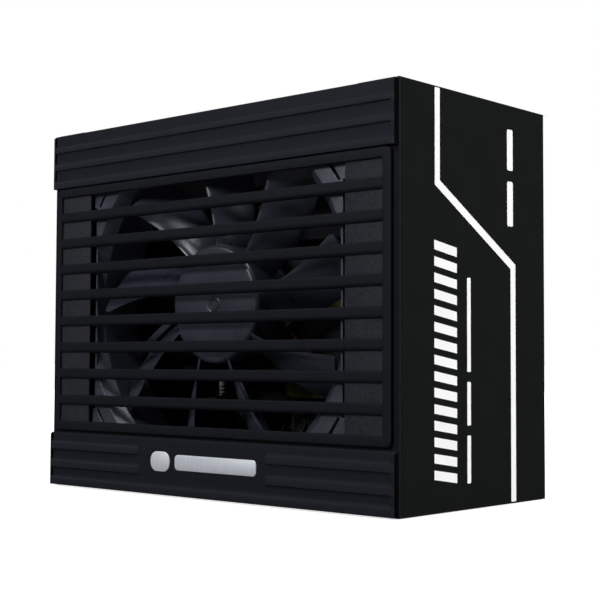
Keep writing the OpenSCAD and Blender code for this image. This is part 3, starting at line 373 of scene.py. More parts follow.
def new_obj(name, verts, faces, mats, body="case", face_mats=None, smooth=35, replaces=(), weld=False):
    me = bpy.data.meshes.new(name)
    me.from_pydata([[c * MM for c in v] for v in verts], [], faces)
    me.validate()
    ob = bpy.data.objects.new(name, me)
    bpy.context.scene.collection.objects.link(ob)
    for m in mats if isinstance(mats, (list, tuple)) else [mats]:
        me.materials.append(m)
    if face_mats:
        for p, i in zip(me.polygons, face_mats):
            p.material_index = i
    settle(ob, weld)
    shade(ob, smooth)
    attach(ob, body)
    if replaces:
        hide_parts(*replaces)
    made.append(ob)
    return ob


def settle(ob, weld=False):
    bm = bmesh.new()
    bm.from_mesh(ob.data)
    if weld:
        bmesh.ops.remove_doubles(bm, verts=bm.verts, dist=2e-6)
    bmesh.ops.recalc_face_normals(bm, faces=bm.faces)
    bm.to_mesh(ob.data)
    bm.free()


def shade(ob, angle):
    ob.data.polygons.foreach_set("use_smooth", [True] * len(ob.data.polygons))
    ob.data.set_sharp_from_angle(angle=R(angle))


def weighted(ob):
    w = ob.modifiers.new("weighted_normals", "WEIGHTED_NORMAL")
    w.keep_sharp = True
    w.mode = "FACE_AREA"
    w.weight = 60


def bevel_bm(bm, width, segs, angle=30, pick=None):
    edges = [e for e in bm.edges if len(e.link_faces) == 2
             and e.calc_face_angle(0) > R(angle) and (pick is None or pick(e))]
    if edges:
        bmesh.ops.bevel(bm, geom=edges, offset=width * MM, offset_type="OFFSET", segments=segs,
                        profile=0.5, affect="EDGES", clamp_overlap=False, miter_outer="SHARP", miter_inner="SHARP")


def solid_parts(verts_faces):
    verts, faces = [], []
    for v, f in verts_faces:
        o = len(verts)
        verts += v
        faces += [[i + o for i in q] for q in f]
    return verts, faces


def islands(bm):
    """Groups of vertices joined by edges."""
    left, groups = set(bm.verts), []
    while left:
        stack, group = [left.pop()], []
        while stack:
            v_ = stack.pop()
            group.append(v_)
            for e in v_.link_edges:
                o = e.other_vert(v_)
                if o in left:
                    left.remove(o)
                    stack.append(o)
        groups.append(group)
    return groups


def refine(node, mat, bevel=0.0, segs=2, angle=30, name=None, body=None, paint=None, keep=None, sharp=40):
    """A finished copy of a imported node: welded, flat faces merged, edges rounded, normals clean."""
    src = N[node]
    me = src.data.copy()
    me.name = (name or node) + "_fine"
    bm = bmesh.new()
    bm.from_mesh(me)
    bmesh.ops.remove_doubles(bm, verts=bm.verts, dist=2e-6)
    if keep:
        # separate solids whose middle fails the test are left out, for a finer piece made apart
        bm.verts.ensure_lookup_table()
        for group in islands(bm):
            mid = sum((v_.co for v_ in group), Vector()) / len(group) / MM
            if not keep(mid):
                bmesh.ops.delete(bm, geom=group, context="VERTS")
    bmesh.ops.dissolve_limit(bm, angle_limit=R(0.6), verts=bm.verts, edges=bm.edges, delimit={"NORMAL"})
    bmesh.ops.recalc_face_normals(bm, faces=bm.faces)
    if bevel:
        bevel_bm(bm, bevel, segs, angle)
        bmesh.ops.remove_doubles(bm, verts=bm.verts, dist=1e-6)
    big = [f for f in bm.faces if len(f.verts) > 4]
    bmesh.ops.triangulate(bm, faces=big)
    clean = bpy.data.meshes.new(me.name)
    bm.to_mesh(clean)
    bm.free()
    bpy.data.meshes.remove(me)
    ob = bpy.data.objects.new((name or node) + "_fine", clean)
    bpy.context.scene.collection.objects.link(ob)
    for m in mat if isinstance(mat, (list, tuple)) else [mat]:
        clean.materials.append(m)
    if paint:
        for p in clean.polygons:
            c = p.center / MM
            p.material_index = paint(c, p.normal)
    shade(ob, sharp)
    weighted(ob)
    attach(ob, body or src["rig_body"])
    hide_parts(node)
    made.append(ob)
    return ob


def soften(p):
    out = [p[0]]
    for i in range(len(p) - 1):
        a, b = Vector(p[i]), Vector(p[i + 1])
        out.append(a.lerp(b, 0.5) if i == 0 else a.lerp(b, 0.25))
        out.append(a.lerp(b, 0.5) if i == len(p) - 2 else a.lerp(b, 0.75))
    out.append(p[-1])
    return [Vector(v) for v in out]


def tube(path, r, n=14, rounds=3, closed=False):
    p = [Vector(v) for v in path]
    for _ in range(rounds):
        p = soften(p)
    q = [p[0]]
    for v in p[1:]:
        if (v - q[-1]).length > 1e-4:
            q.append(v)
    p = q
    m = len(p)
    t = []
    for i in range(m):
        d = Vector((0, 0, 0))
        if i < m - 1:
            d += (p[i + 1] - p[i]).normalized()
        if i > 0:
            d += (p[i] - p[i - 1]).normalized()
        t.append(d.normalized())
    ref = Vector((0, 1, 0)) if abs(t[0].y) < 0.8 else Vector((1, 0, 0))
    a = t[0].cross(ref).normalized()
    verts, faces = [], []
    for i in range(m):
        a = (a - t[i] * a.dot(t[i])).normalized()
        b = t[i].cross(a)
        for k in range(n):
            w = 2 * math.pi * k / n
            verts.append(p[i] + (a * math.cos(w) + b * math.sin(w)) * r)
    for i in range(m - 1):
        for k in range(n):
            l = (k + 1) % n
            faces.append([i * n + k, i * n + l, (i + 1) * n + l, (i + 1) * n + k])
    faces.append(list(range(n))[::-1])
    faces.append([(m - 1) * n + k for k in range(n)])
    return [list(v) for v in verts], faces


def prism(outline, axis, lo, hi):
    """outline of 2D points; axis x: (y, z), y: (x, z), z: (x, y)."""
    n = len(outline)

    def put(u, v, w):
        return {"x": (w, u, v), "y": (u, w, v), "z": (u, v, w)}[axis]
    verts = [put(u, v, lo) for u, v in outline] + [put(u, v, hi) for u, v in outline]
    faces = [list(range(n)), list(range(2 * n - 1, n - 1, -1))]
    faces += [[i, (i + 1) % n, n + (i + 1) % n, n + i] for i in range(n)]
    return verts, faces


def rr(cx, cy, w, h, r, seg=6):
    pts = []
    for sx, sy, a0 in ((1, 1, 0), (-1, 1, 90), (-1, -1, 180), (1, -1, 270)):
        for k in range(seg + 1):
            a = R(a0 + 90 * k / seg)
            pts.append((cx + sx * (w / 2 - r) + r * math.cos(a), cy + sy * (h / 2 - r) + r * math.sin(a)))
    return pts


def lathe_y(profile, centre, n=96, close=True):
    """profile of (radius, y) points, turned about the y axis through centre (x, z)."""
    cx, cz = centre
    verts, faces = [], []
    m = len(profile)
    for i in range(n):
        a = 2 * math.pi * i / n
        for r, y in profile:
            verts.append((cx + r * math.cos(a), y, cz + r * math.sin(a)))
    for i in range(n):
        j = (i + 1) % n
        for k in range(m if close else m - 1):
            l = (k + 1) % m
            faces.append([i * m + k, i * m + l, j * m + l, j * m + k])
    return verts, faces


def arc_pts(cx, cy, r, a0, a1, n):
    return [(cx + r * math.cos(R(a0 + (a1 - a0) * k / n)), cy + r * math.sin(R(a0 + (a1 - a0) * k / n))) for k in range(n + 1)]


# ------------------------------------------------------------------ case
zlo, zhi = bx("cover_shell")[0][2], bx("cover_shell")[1][2]
refine("cover_shell", SHEET, 0.12, 2)
refine("base_shell", SHEET, 0.10, 1)


def trim_profile(lo, hi, back, ribs, rib_y, groove_y):
    """Section through a trim strip: soft slope above each rib, tight step below it."""
    pts = [(back, lo + 0.15), (back - 0.25, lo)]
    for b0, b1 in ribs:
        first = b0 - lo < 0.45
        if first:
            pts += [(rib_y + 0.35, lo), (rib_y + 0.1, lo + 0.08), (rib_y, lo + 0.3)]
        else:
            pts += [(groove_y, b0 - 0.22), (groove_y - 0.03, b0 - 0.08), (groove_y - 0.10, b0 - 0.01),
                    (rib_y + 0.10, b0 + 0.05), (rib_y + 0.03, b0 + 0.11), (rib_y, b0 + 0.22)]
        pts += [(rib_y, b1 - 0.95)]
        for k in range(1, 8):
            u = k / 8
            s = u * u * (3 - 2 * u)
            pts.append((rib_y + (groove_y - rib_y) * s, b1 - 0.95 + 1.15 * u))
        pts.append((groove_y, b1 + 0.2))
    pts += [(groove_y, hi - 0.5), (groove_y + 0.05, hi - 0.22), (groove_y + 0.2, hi - 0.05), (groove_y + 0.4, hi), (back, hi)]
    return pts


def trim(node, ribs_full, ribs_split=(), gap=None, edge=None):
    lo, hi = bx(node)
    x0, x1 = lo[0], hi[0]
    rib_y, back = lo[1], hi[1]
    groove_y = rib_y + 0.4
    sections = []
    ends = 0.42
    # stations along x: rounded at both ends, with the split ribs fading beside the badge
    steps = [(x0 + ends * (1 - math.cos(R(90 * k / 5))), ends * (1 - math.sin(R(90 * k / 5)))) for k in range(6)]
    st = [(x, inset, 1.0, 0.0) for x, inset in steps] + [(x0 + 0.95, 0, 1.0, 0.0), (x0 + 1.12, 0, 1.0, 1.0)]
    mid = []
    if gap:
        g0, g1 = gap
        mid = [(g0 - 0.6, 0, 1.0, 1.0), (g0 - 0.15, 0, 0.72, 1.0), (g0 + 0.15, 0, 0.28, 1.0), (g0 + 0.6, 0, 0.0, 1.0),
               (g1 - 0.6, 0, 0.0, 1.0), (g1 - 0.15, 0, 0.28, 1.0), (g1 + 0.15, 0, 0.72, 1.0), (g1 + 0.6, 0, 1.0, 1.0)]
    back_steps = [(x1 - ends * (1 - math.sin(R(90 * k / 5))), ends * (1 - math.cos(R(90 * k / 5)))) for k in range(6)]
    st += mid + [(x1 - 1.12, 0, 1.0, 1.0), (x1 - 0.95, 0, 1.0, 0.0)] + [(x, inset, 1.0, 0.0) for x, inset in back_steps]
    all_ribs = sorted(list(ribs_full) + list(ribs_split))
    base = trim_profile(lo[2], hi[2], back, all_ribs, rib_y, groove_y)
    verts, faces, fm = [], [], []
    n = len(base)
    for x, inset, h, relief in st:
        for y, z in base:
            # the relief stops a little short of each end, at a flush border
            yy, zz = (rib_y + (y - rib_y) * relief if y <= groove_y + 0.001 else y), z
            inside_split = any(b0 - 0.3 <= z <= b1 + 0.3 for b0, b1 in ribs_split)
            if inside_split and y < groove_y and relief == 1.0:
                yy = groove_y + (y - groove_y) * h
            if y < back - 0.01:
                yy = min(yy + inset * 0.9, back - 0.02)
            zz = min(max(zz, lo[2] + inset * 0.5), hi[2] - inset * 0.5)
            verts.append((x, yy, zz))
    m = len(st)
    for i in range(m - 1):
        for k in range(n):
            l = (k + 1) % n
            faces.append([i * n + k, (i + 1) * n + k, (i + 1) * n + l, i * n + l])
            za = (base[k][1] + base[l][1]) / 2
            ya = (base[k][0] + base[l][0]) / 2
            h = (st[i][2] + st[i + 1][2]) / 2
            split = any(b0 - 0.3 <= za <= b1 + 0.3 for b0, b1 in ribs_split)
            # rib faces take the lighter copy of the coat: painted light on the raised ribs
            rib = ya < rib_y + 0.2 and not (split and h < 0.5)
            fm.append(1 if rib else 0)
    faces.append(list(range(n)))
    faces.append([(m - 1) * n + k for k in range(n)][::-1])
    # end caps and faces turned to ±x take the near-black coat: painted shade on the strip ends
    fm += [2, 2]
    ob = new_obj(node + "_strip", verts, faces, [COAT_TRIM, COAT_RIB_LIT, COAT_SHADED_EDGE], face_mats=fm, smooth=32, replaces=[node])
    for p in ob.data.polygons:
        if abs(p.normal.x) > 0.86:
            p.material_index = 2
    return ob


def rib_band(z0, z1):
    return (z0, z1)


tl, th = bx("upper_trim")
trim("upper_trim", [(84.4, 86.8), (89.7, 91.9), (94.7, 96.8)])
trim("lower_trim", [(0.2, 2.9)], [(5.1, 7.7), (10.2, 12.8)], gap=(-24.3, 22.4))

# badge: two plain satin bars with softened edges
b_lo, b_hi = bx("badge")


def plaque(outline, y0, y1, r=0.14):
    n = len(outline)
    cx = sum(p[0] for p in outline) / n
    cz = sum(p[1] for p in outline) / n
    rings = []
    for y, inset in ((y1, 0), (y0 + r, 0), (y0 + r * 0.3, r * 0.3), (y0, r)):
        ring = []
        for i, (x, z) in enumerate(outline):
            a, b = outline[i - 1], outline[(i + 1) % n]
            t = Vector((b[0] - a[0], b[1] - a[1])).normalized()
            ring.append((x - t.y * inset, y, z + t.x * inset))
        rings.append(ring)
    verts = [v for ring in rings for v in ring]
    faces = [list(range(n))[::-1], [3 * n + i for i in range(n)]]
    for j in range(3):
        for i in range(n):
            k = (i + 1) % n
            faces.append([j * n + i, j * n + k, (j + 1) * n + k, (j + 1) * n + i])
    return verts, faces


v, f = solid_parts([plaque(rr(-15.6, 8.9, 7.4, 5.2, 2.4, 10), b_lo[1] - 0.12, b_hi[1]),
                    plaque(rr(4.6, 8.9, 29.2, 4.0, 1.2, 8), b_lo[1] - 0.12, b_hi[1])])
new_obj("badge_bars", v, f, BADGE, smooth=30, replaces=["badge"])

# ------------------------------------------------------------------ grille
g_lo, g_hi = bx("fan_grille")
SLAT_P = 7.38
row_z = [50 + i * SLAT_P for i in range(-4, 5)]
half_open = (SLAT_P - 3.0) / 2


def grille():
    face_y = g_lo[1]
    back_y = -30.35
    half = 9 * SLAT_P / 2 + 1.1
    out, fms = [], []

    def add(part, mat):
        out.append(part)
        fms.extend([mat] * len(part[1]))

    # slats and rails: rounded section run across, from side bar to side bar
    def bar(z0, z1, r_lo, r_hi, x0, x1, deep=0.0):
        zc_ = (z0 + z1) / 2
        top = arc_pts(face_y + r_hi, z1 - r_hi, r_hi, 180, 90, 6)
        low = arc_pts(face_y + r_lo, z0 + r_lo, r_lo, 270, 180, 9)
        crown = [(face_y - 0.0, z0 + (z1 - z0) * k / 6) for k in range(1, 6)]
        section = low + [c for c in crown if z0 + r_lo < c[1] < z1 - r_hi] + top
        section += [(back_y, z1), (back_y, zc_ + 1.0), (back_y + deep, zc_ + 0.6), (back_y + deep, zc_ - 0.6), (back_y, zc_ - 1.0), (back_y, z0)]
        return prism(section, "x", x0, x1)

    for i in range(8):
        zc_ = (row_z[i] + row_z[i + 1]) / 2
        add(bar(zc_ - 1.5, zc_ + 1.5, 1.05, 0.4, -58.3, 58.3, 0.35), 0)
    zt, zb = row_z[8] + half_open, row_z[0] - half_open
    # outer frame as one ring with a rolled outer edge and a small inner edge
    outer = rr(0, 50, g_hi[0] - g_lo[0], 2 * half, 1.8, 8)
    inner = rr(0, 50, 116.4, zt - zb, 0.6, 8)
    rings = []
    n = len(outer)

    def ring(pts, inset, y):
        m = len(pts)
        res = []
        for i, (x, z) in enumerate(pts):
            a, b = pts[i - 1], pts[(i + 1) % m]
            t = Vector((b[0] - a[0], b[1] - a[1])).normalized()
            res.append((x - t.y * inset, y, z + t.x * inset))
        return res
    for k in range(7):
        a = R(90 * k / 6)
        rings.append(ring(outer, 0.5 * (1 - math.cos(a)), face_y + 0.5 * (1 - math.sin(a))))
    for k in range(5):
        a = R(90 * k / 4)
        rings.append(ring(inner, -0.28 * (1 - math.sin(a)), face_y + 0.28 * (1 - math.cos(a))))
    rings.append(ring(inner, 0, back_y))
    rings.append(ring(outer, 0, back_y))
    verts = [v for r_ in rings for v in r_]
    faces, m = [], len(rings)
    for j in range(m):
        l = (j + 1) % m
        for i in range(n):
            k = (i + 1) % n
            faces.append([j * n + i, j * n + k, l * n + k, l * n + i])
    add((verts, faces), 0)
    # sunk textured pads, each with a rounded inner lip where the slots begin
    pad_y = face_y + 0.6
    for x0, x1 in ((-58.5, -46.0), (46.6, 58.5)):
        inner_x = x1 if x0 < 0 else x0
        s = 1 if x0 < 0 else -1
        sec = [(x0 if x0 < 0 else x1, back_y), (x0 if x0 < 0 else x1, pad_y)]
        sec += [(inner_x - s * 0.25, pad_y), (inner_x - s * 0.07, pad_y + 0.07), (inner_x, pad_y + 0.2), (inner_x, back_y)]
        add(prism(sec, "z", zb - 0.3, zt + 0.3), 1)
    # clips
    for i in (-1, 1):
        for j in (-1, 1):
            zc_ = 50 + j * 3.5 * SLAT_P
            add(prism(rr(i * 54, zc_, 2.8, 0.9, 0.2, 3), "y", back_y - 0.1, g_hi[1]), 0)
    v, f = solid_parts(out)
    ob = new_obj("fan_grille_panel", v, f, [COAT, COAT_PAD, COAT_SHADED_EDGE], face_mats=fms, smooth=32, replaces=["fan_grille"])
    # side faces turned to ±x at the outer boundary take the near-black coat: painted shade beside the grille
    for p in ob.data.polygons:
        if abs(p.normal.x) > 0.86 and abs(p.center.x) > 0.0595:
            p.material_index = 2
    return ob


grille()

# ------------------------------------------------------------------ labels
LAB_X = bx("right_label")[1][0]
l_lo, l_hi = bx("right_label")


def label(side):
    node = "right_label" if side > 0 else "left_label"
    lo, hi = bx(node)
    outline = rr((lo[1] + hi[1]) / 2, (lo[2] + hi[2]) / 2, hi[1] - lo[1], hi[2] - lo[2], 1.0, 8)
    x_in, x_out = (lo[0], hi[0]) if side > 0 else (hi[0], lo[0])
    n = len(outline)
    rings = []
    for x, inset in ((x_in, 0), (x_out - side * 0.05, 0), (x_out - side * 0.015, 0.02), (x_out, 0.06)):
        r_ = []
        for i, (y, z) in enumerate(outline):
            a, b = outline[i - 1], outline[(i + 1) % n]
            t = Vector((b[0] - a[0], b[1] - a[1])).normalized()
            r_.append((x, y - t.y * inset, z + t.x * inset))
        rings.append(r_)
    verts = [v for r_ in rings for v in r_]
    faces = [list(range(n)), [3 * n + i for i in range(n)][::-1]]
    for j in range(3):
        for i in range(n):
            k = (i + 1) % n
            faces.append([j * n + i, (j + 1) * n + i, (j + 1) * n + k, j * n + k])
    new_obj(node + "_film", verts, faces, LABEL, smooth=30, replaces=[node])
    # printed marks: pin-stripe, slanted dashes and plain bars, as ink 0.02 mm proud
    ink = []
    x0, x1 = (x_out - 0.005, x_out + 0.02) if side > 0 else (x_out - 0.02, x_out + 0.005)

    def shape(pts):
        if side < 0:
            pts = [(-y, z) for y, z in pts]
        ink.append(prism(pts, "x", x0, x1))
    z_hi = hi[2] - 0.05
    shape([(-16.95, z_hi), (-14.95, z_hi), (-14.95, 77.75), (17.5, 59.75), (17.5, 0.5), (15.3, 0.5), (15.3, 58.55),
           (-16.95, 76.55)])
    # slanted dashes in place of the large printed line
    z = 6.6
    for k in range(15):
        shape([(-8.1, z + 2.2), (-8.1, z), (-17.2, z + 1.3), (-17.2, z + 3.5)])
        z += 3.82
    # thin broken line in place of the small printed line
    for a, b in ((6.2, 17.6), (20.0, 30.4), (32.8, 55.4)):
        shape(rr(-3.1, (a + b) / 2, 1.5, b - a, 0.3, 4))
    for a, b in ((69.3, 80.6), (83.4, 93.8)):
        shape(rr(15.2, (a + b) / 2, 2.6, b - a, 0.5, 5))
    v, f = solid_parts(ink)
    new_obj(node + "_ink", v, f, WHITE, smooth=30)


label(1)
label(-1)

# rating label on the rear: blank cells and rules, no lettering
r_lo, r_hi = bx("rating_label")
refine("rating_label", RATING, 0.0)
cells = []
y0, y1 = r_hi[1] - 0.004, r_hi[1] + 0.012
for z in (r_lo[2] + 6, r_lo[2] + 26, r_lo[2] + 34, r_lo[2] + 42, r_hi[2] - 6):
    cells.append(prism(rr(0, z, 82, 0.5, 0.2, 3), "y", y0, y1))
for x in (-41, -14, 14, 41):
    cells.append(prism(rr(x, r_lo[2] + 24, 0.5, 36, 0.2, 3), "y", y0, y1))
for i in range(9):
    w = 70 - 6 * (i % 3)
    cells.append(prism(rr(-41 + w / 2, r_hi[2] - 11 - 3.0 * i, w, 1.0, 0.3, 3), "y", y0, y1))
v, f = solid_parts(cells)
new_obj("rating_label_rules", v, f, INK)

refine("cover_screws", SCREW, 0.08, 1)
refine("fan_screws", SCREW, 0.08, 1)

# ------------------------------------------------------------------ fan
f_lo, f_hi = bx("fan_frame")
FY0, FY1 = f_lo[1], f_hi[1]
ZC = 50.0
HUB = 15.5
TIP = 43.2
refine("fan_frame", FANF, 0.22, 2)


def rotor():
    prof = [(0.0, FY0 + 2.25), (0.55, FY0 + 2.2), (1.05, FY0 + 2.22), (1.25, FY0 + 2.02), (1.55, FY0 + 2.0), (1.72, FY0 + 2.2),
            (1.95, FY0 + 2.24), (2.15, FY0 + 2.05), (2.4, FY0 + 2.0), (6, FY0 + 2.0), (10, FY0 + 2.0)]
    prof += [(HUB - 1.3 + 1.3 * math.sin(R(a)), FY0 + 2.0 + 1.3 * (1 - math.cos(R(a)))) for a in range(0, 91, 10)]
    prof += [(HUB, FY0 + 6), (HUB, FY0 + 12.0), (HUB - 0.15, FY0 + 12.2), (HUB - 0.85, FY0 + 12.2), (HUB - 1, FY0 + 12.0),
             (HUB - 1, FY0 + 3.6), (HUB - 1.3, FY0 + 3.4), (2.6, FY0 + 3.4), (2.6, FY0 + 4.4), (1.02, FY0 + 4.4), (1.02, FY0 + 2.9), (0.0, FY0 + 2.9)]
    hub = lathe_y(prof, (0, ZC), 128, close=False)
    parts = [hub]
    nu, nv = 26, 22
    for b in range(9):
        off = b * 40.0
        rings = []
        for i in range(nu + 1):
            u = i / nu
            r = HUB - 0.4 + u * (TIP - HUB + 0.4)
            loop = []
            # tip corners rounded off
            trim_v = 0.0
            if u > 0.93:
                trim_v = 0.07 * ((u - 0.93) / 0.07) ** 2.2
            for side in (-1, 1):
                js = range(nv + 1) if side < 0 else range(nv, -1, -1)
                for j in js:
                    v_ = trim_v + (1 - 2 * trim_v) * j / nv
                    e = math.sin(math.pi * min(max(v_, 0.0), 1.0))
                    th = 0.10 + 0.52 * e ** 0.6 + 0.55 * math.exp(-u * 16) * e
                    a = R(90 + 0.45 * (r - 16) - v_ * (22 - 5 * u) + off)
                    y = FY0 + 2.1 + 0.5 * (1 - u) + (7.6 + 0.4 * u) * v_ ** 1.2 + side * th
                    loop.append((r * math.cos(a), y, ZC + r * math.sin(a)))
            rings.append(loop)
        m = len(rings[0])
        verts = [p for ring in rings for p in ring]
        faces = []
        for i in range(nu):
            for k in range(m):
                l = (k + 1) % m
                faces.append([i * m + k, i * m + l, (i + 1) * m + l, (i + 1) * m + k])
        # end caps as strips between the two sides
        for base in (0, nu * m):
            for j in range(nv):
                faces.append([base + j, base + j + 1, base + m - 2 - j, base + m - 1 - j])
        parts.append((verts, faces))
    v, f = solid_parts(parts)
    return new_obj("fan_rotor_blades", v, f, FAN, body="fan_blades", smooth=38, replaces=["fan_rotor"], weld=True)


rotor()
refine("rotor_yoke", PLATED)
refine("rotor_magnet", FERRITE)
refine("fan_shaft", PLATED, 0.1, 1)
refine("fan_bearing", BRASS, 0.1, 1)
refine("stator_core", PLATED, 0.08, 1)
refine("stator_coils", WIND_X, 0.5, 2)
refine("fan_board", BOARD, 0.08, 1)

# fan cable: two smooth wires and a small plug
c_lo, c_hi = bx("fan_cable")
parts, fms = [], []
for k, mi in ((0, 0), (1, 1)):
    p = tube([(5 + k * 1.6, FY1 + 0.85, ZC - 8), (-2 + k * 1.4, FY1 + 0.85, ZC - 24 + k), (-24, FY1 + 0.85, 22 + k * 1.5),
              (-50, -10, 21 + k * 1.5), (-57.4 + k * 2.2, -4, 27), (-57.4 + k * 2.2, 12, 31), (-57.4 + k * 2.2, 22, 31)], 0.65)
    parts.append(p)
    fms += [mi] * len(p[1])
p = prism(rr(-56.3, 30.95, 5.4, 6.5, 0.5, 4), "y", 17.2, 26.1)
parts.append(p)
fms += [2] * len(p[1])
v, f = solid_parts(parts)
new_obj("fan_cable_wires", v, f, [W_BLACK, W_BLACK, PLUG], face_mats=fms, replaces=["fan_cable"])

# ------------------------------------------------------------------ mains end
refine("inlet_body", BLACK, 0.25, 2)
refine("inlet_pins", TIN, 0.12, 1)
refine("switch_body", BLACK, 0.25, 2)

refine("switch_rocker", ROCKER, 0.08, 2, sharp=16)
refine("switch_terminals", TIN, 0.08, 1)
ix, iy = -36.0, 8.0
sx_, sy_ = -8.0, 8.0
parts, fms = [], []
for path, mi in (
    ([(ix - 7, 2.2, 70.4), (ix - 7, -4, 70.4), (-36, -8, 72), (-12, -8, 75), (sx_, -3, 77), (sx_, 1.8, 78.4)], 0),
    ([(sx_ - 4.4, 13.2, 79), (-15.5, 13.2, 79.5), (-17.2, 18, 80.5), (-17.2, 25.9, 80.5)], 0),
    ([(ix + 8.6, 6, 71), (-24, 5, 71.5), (-20.6, 9, 79), (-21.3, 18, 81), (-21.3, 25.9, 81)], 1)):
    p = tube(path, 1.1)
    parts.append(p)
    fms += [mi] * len(p[1])
v, f = solid_parts(parts)
new_obj("mains_wire_run", v, f, [W_BROWN, W_BLUE], face_mats=fms, replaces=["mains_wires"])
lead = refine("earth_lead", [W_GREEN, TIN], 0.0, paint=lambda c, n_: 1 if c[2] > 97.8 and abs(c[0] + 56) < 4 else 0)
refine("earth_screw", PLATED, 0.1, 1)

# ------------------------------------------------------------------ boards and parts inside
refine("main_board", BOARD, 0.1, 1)
refine("insulation_sheet", FILM)
refine("board_standoffs", BRASS, 0.1, 1)
refine("board_screws", PLATED, 0.1, 1)
refine("bulk_capacitor", SLEEVE, 0.3, 2)
refine("bridge_rectifier", [BLACK, TIN], 0.12, 1, paint=lambda c, n_: 1 if c[1] > 17.6 else 0)
refine("primary_heatsink", ALU, 0.12, 1)
refine("power_transistors", [BLACK, TIN], 0.12, 1, paint=lambda c, n_: 1 if c[1] > 16.6 else 0)
refine("pfc_choke", [FERRITE, WIND_X], 0.35, 2,
       paint=lambda c, n_: 1 if 5.5 < c[0] < 21.5 and 69 < c[2] < 90 and -2.65 < c[1] < 21.4 else 0)
refine("transformer_core", FERRITE, 0.3, 2)
refine("transformer_winding", [TAPE, BLACK], 0.6, 3, angle=60, paint=lambda c, n_: 1 if c[1] > 19.2 else 0,
       keep=lambda c: c[1] > -3.95)
v, f = tube([(6, -1, 50.6), (6.5, -8, 51.2), (8.5, -11.6, 49), (10.6, -11.3, 44.4), (12.8, -11.2, 41.4), (16.5, -11, 38.6),
             (20.6, -10.9, 35.4), (22, -10.5, 32.4), (21.4, -7, 31), (20.6, -4.4, 30.4), (20.4, -2.5, 30)], 0.8, n=16)
new_obj("transformer_lead", v, f, W_RED)
refine("standby_transformer", [FERRITE, TAPE], 0.25, 2,
       paint=lambda c, n_: 1 if -22.45 < c[0] < -10.55 and 10.9 < c[1] < 23.1 and (c[2] < 33.9 or c[2] > 41.1 or 12 < c[1] < 22) else 0)
refine("resonant_choke", [FERRITE, WIND_X], 0.3, 2,
       paint=lambda c, n_: 1 if 40 < c[0] < 54 and 7.1 < c[1] < 22.7 else 0)
refine("filter_choke_cores", CORE_GREEN, 0.4, 3)


def choke_windings():
    parts = []
    c_lo_, c_hi_ = bx("filter_choke_windings")
    for cx in (-50, -32):
        for half in (0, 180):
            path = []
            for i in range(9):
                for k in range(8):
                    a = R(half + 24 + (i + k / 8) * 132 / 9)
                    w = 2 * math.pi * k / 8
                    rx, rr_ = 4.45 * math.cos(w + math.pi), 7.1 + 3.0 * math.sin(w + math.pi)
                    path.append((cx + rx, 14.2 + rr_ * math.cos(a), 57.6 + rr_ * math.sin(a)))
            parts.append(tube(path, 0.62, n=10, rounds=1))
    v, f = solid_parts(parts)
    new_obj("filter_choke_turns", v, f, WIRE_CU, smooth=60, replaces=["filter_choke_windings"])


choke_windings()
refine("x_capacitors", YCAP, 0.4, 2)
refine("y_capacitors", BLUE, 0.5, 2, angle=50)
refine("fuse", [PLUG, TIN], 0.2, 2, paint=lambda c, n_: 0 if -29.8 < c[0] < -16.7 else 1)
refine("relay", RELAY, 0.35, 2)
refine("thermistor", NTC, 0.6, 3, angle=50)
refine("film_capacitors", RED, 0.6, 3, angle=50)
refine("secondary_heatsink", ALU, 0.12, 1)
refine("output_rectifiers", [BLACK, TIN], 0.08, 1, paint=lambda c, n_: 1 if c[1] > 21.6 else 0)
refine("output_capacitors", SLEEVE, 0.2, 2)
refine("converter_board", [BOARD, FERRITE, BLACK, RESISTOR], 0.12, 1,
       paint=lambda c, n_: 3 if c[0] > -29.6 and c[2] < 29.52 and c[1] < 6 and c[0] < -27.3 and c[2] > 24.9 else (
           1 if c[2] < 29.5 and c[1] < 15.5 and c[0] < -29.9 else (2 if c[2] < 29.58 and 16.5 < c[1] < 21.5 and n_[2] < 0.5 else 0)))
refine("control_board", [BOARD, BLACK], 0.08, 1, paint=lambda c, n_: 1 if c[0] > 34.02 else 0)
refine("bus_bars", COPPER, 0.15, 1)
refine("socket_board", BOARD, 0.1, 1)
refine("main_sockets", BLACK, 0.15, 1)
refine("small_sockets", BLACK, 0.15, 1)
refine("socket_contacts", TIN, 0.1, 1)

# ------------------------------------------------------------------ stage
cx, cy = 0.0, 0.0
floor_v = []
me = bpy.data.meshes.new("stage_floor")
rings_, seg_ = [0.0, 0.15, 0.3, 0.6, 1.2, 2.4, 5.0, 12.0, 40.0], 48
vs, fs = [(0, 0, -0.0002)], []
for r_ in rings_[1:]:
    vs += [(r_ * math.cos(2 * math.pi * k / seg_), r_ * math.sin(2 * math.pi * k / seg_), -0.0002) for k in range(seg_)]
for k in range(seg_):
    fs.append([0, 1 + k, 1 + (k + 1) % seg_])
    for j in range(len(rings_) - 2):
        a, b = 1 + j * seg_, 1 + (j + 1) * seg_
        fs.append([a + k, b + k, b + (k + 1) % seg_, a + (k + 1) % seg_])
me.from_pydata(vs, [], fs)
floor = bpy.data.objects.new("stage_floor", me)
bpy.context.scene.collection.objects.link(floor)
n = Nodes("stage_pale")
tone = n.mix(n.ramp(n.noise(40.0, 2.0), (0.3, 0.0), (0.7, 1.0)), (0.80, 0.80, 0.81), (0.82, 0.82, 0.83))
n.principled(tone, 0.9, spec=0.1)
lp = n.add("ShaderNodeLightPath")
away = n.add("ShaderNodeVectorMath", operation="LENGTH")
n.link(n.coord, away.inputs[0])
em = n.add("ShaderNodeEmission")
em.inputs["Color"].default_value = (1, 1, 1, 1)
n.link(n.math("ADD", n.math("MULTIPLY", n.ramp(away.outputs["Value"], (0.1, 0.0), (0.6, 1.0)), 0.5), 0.72), em.inputs["Strength"])
dim = n.add("ShaderNodeBsdfDiffuse")
dim.inputs["Color"].default_value = (0.16, 0.16, 0.17, 1)
addn = n.add("ShaderNodeAddShader")
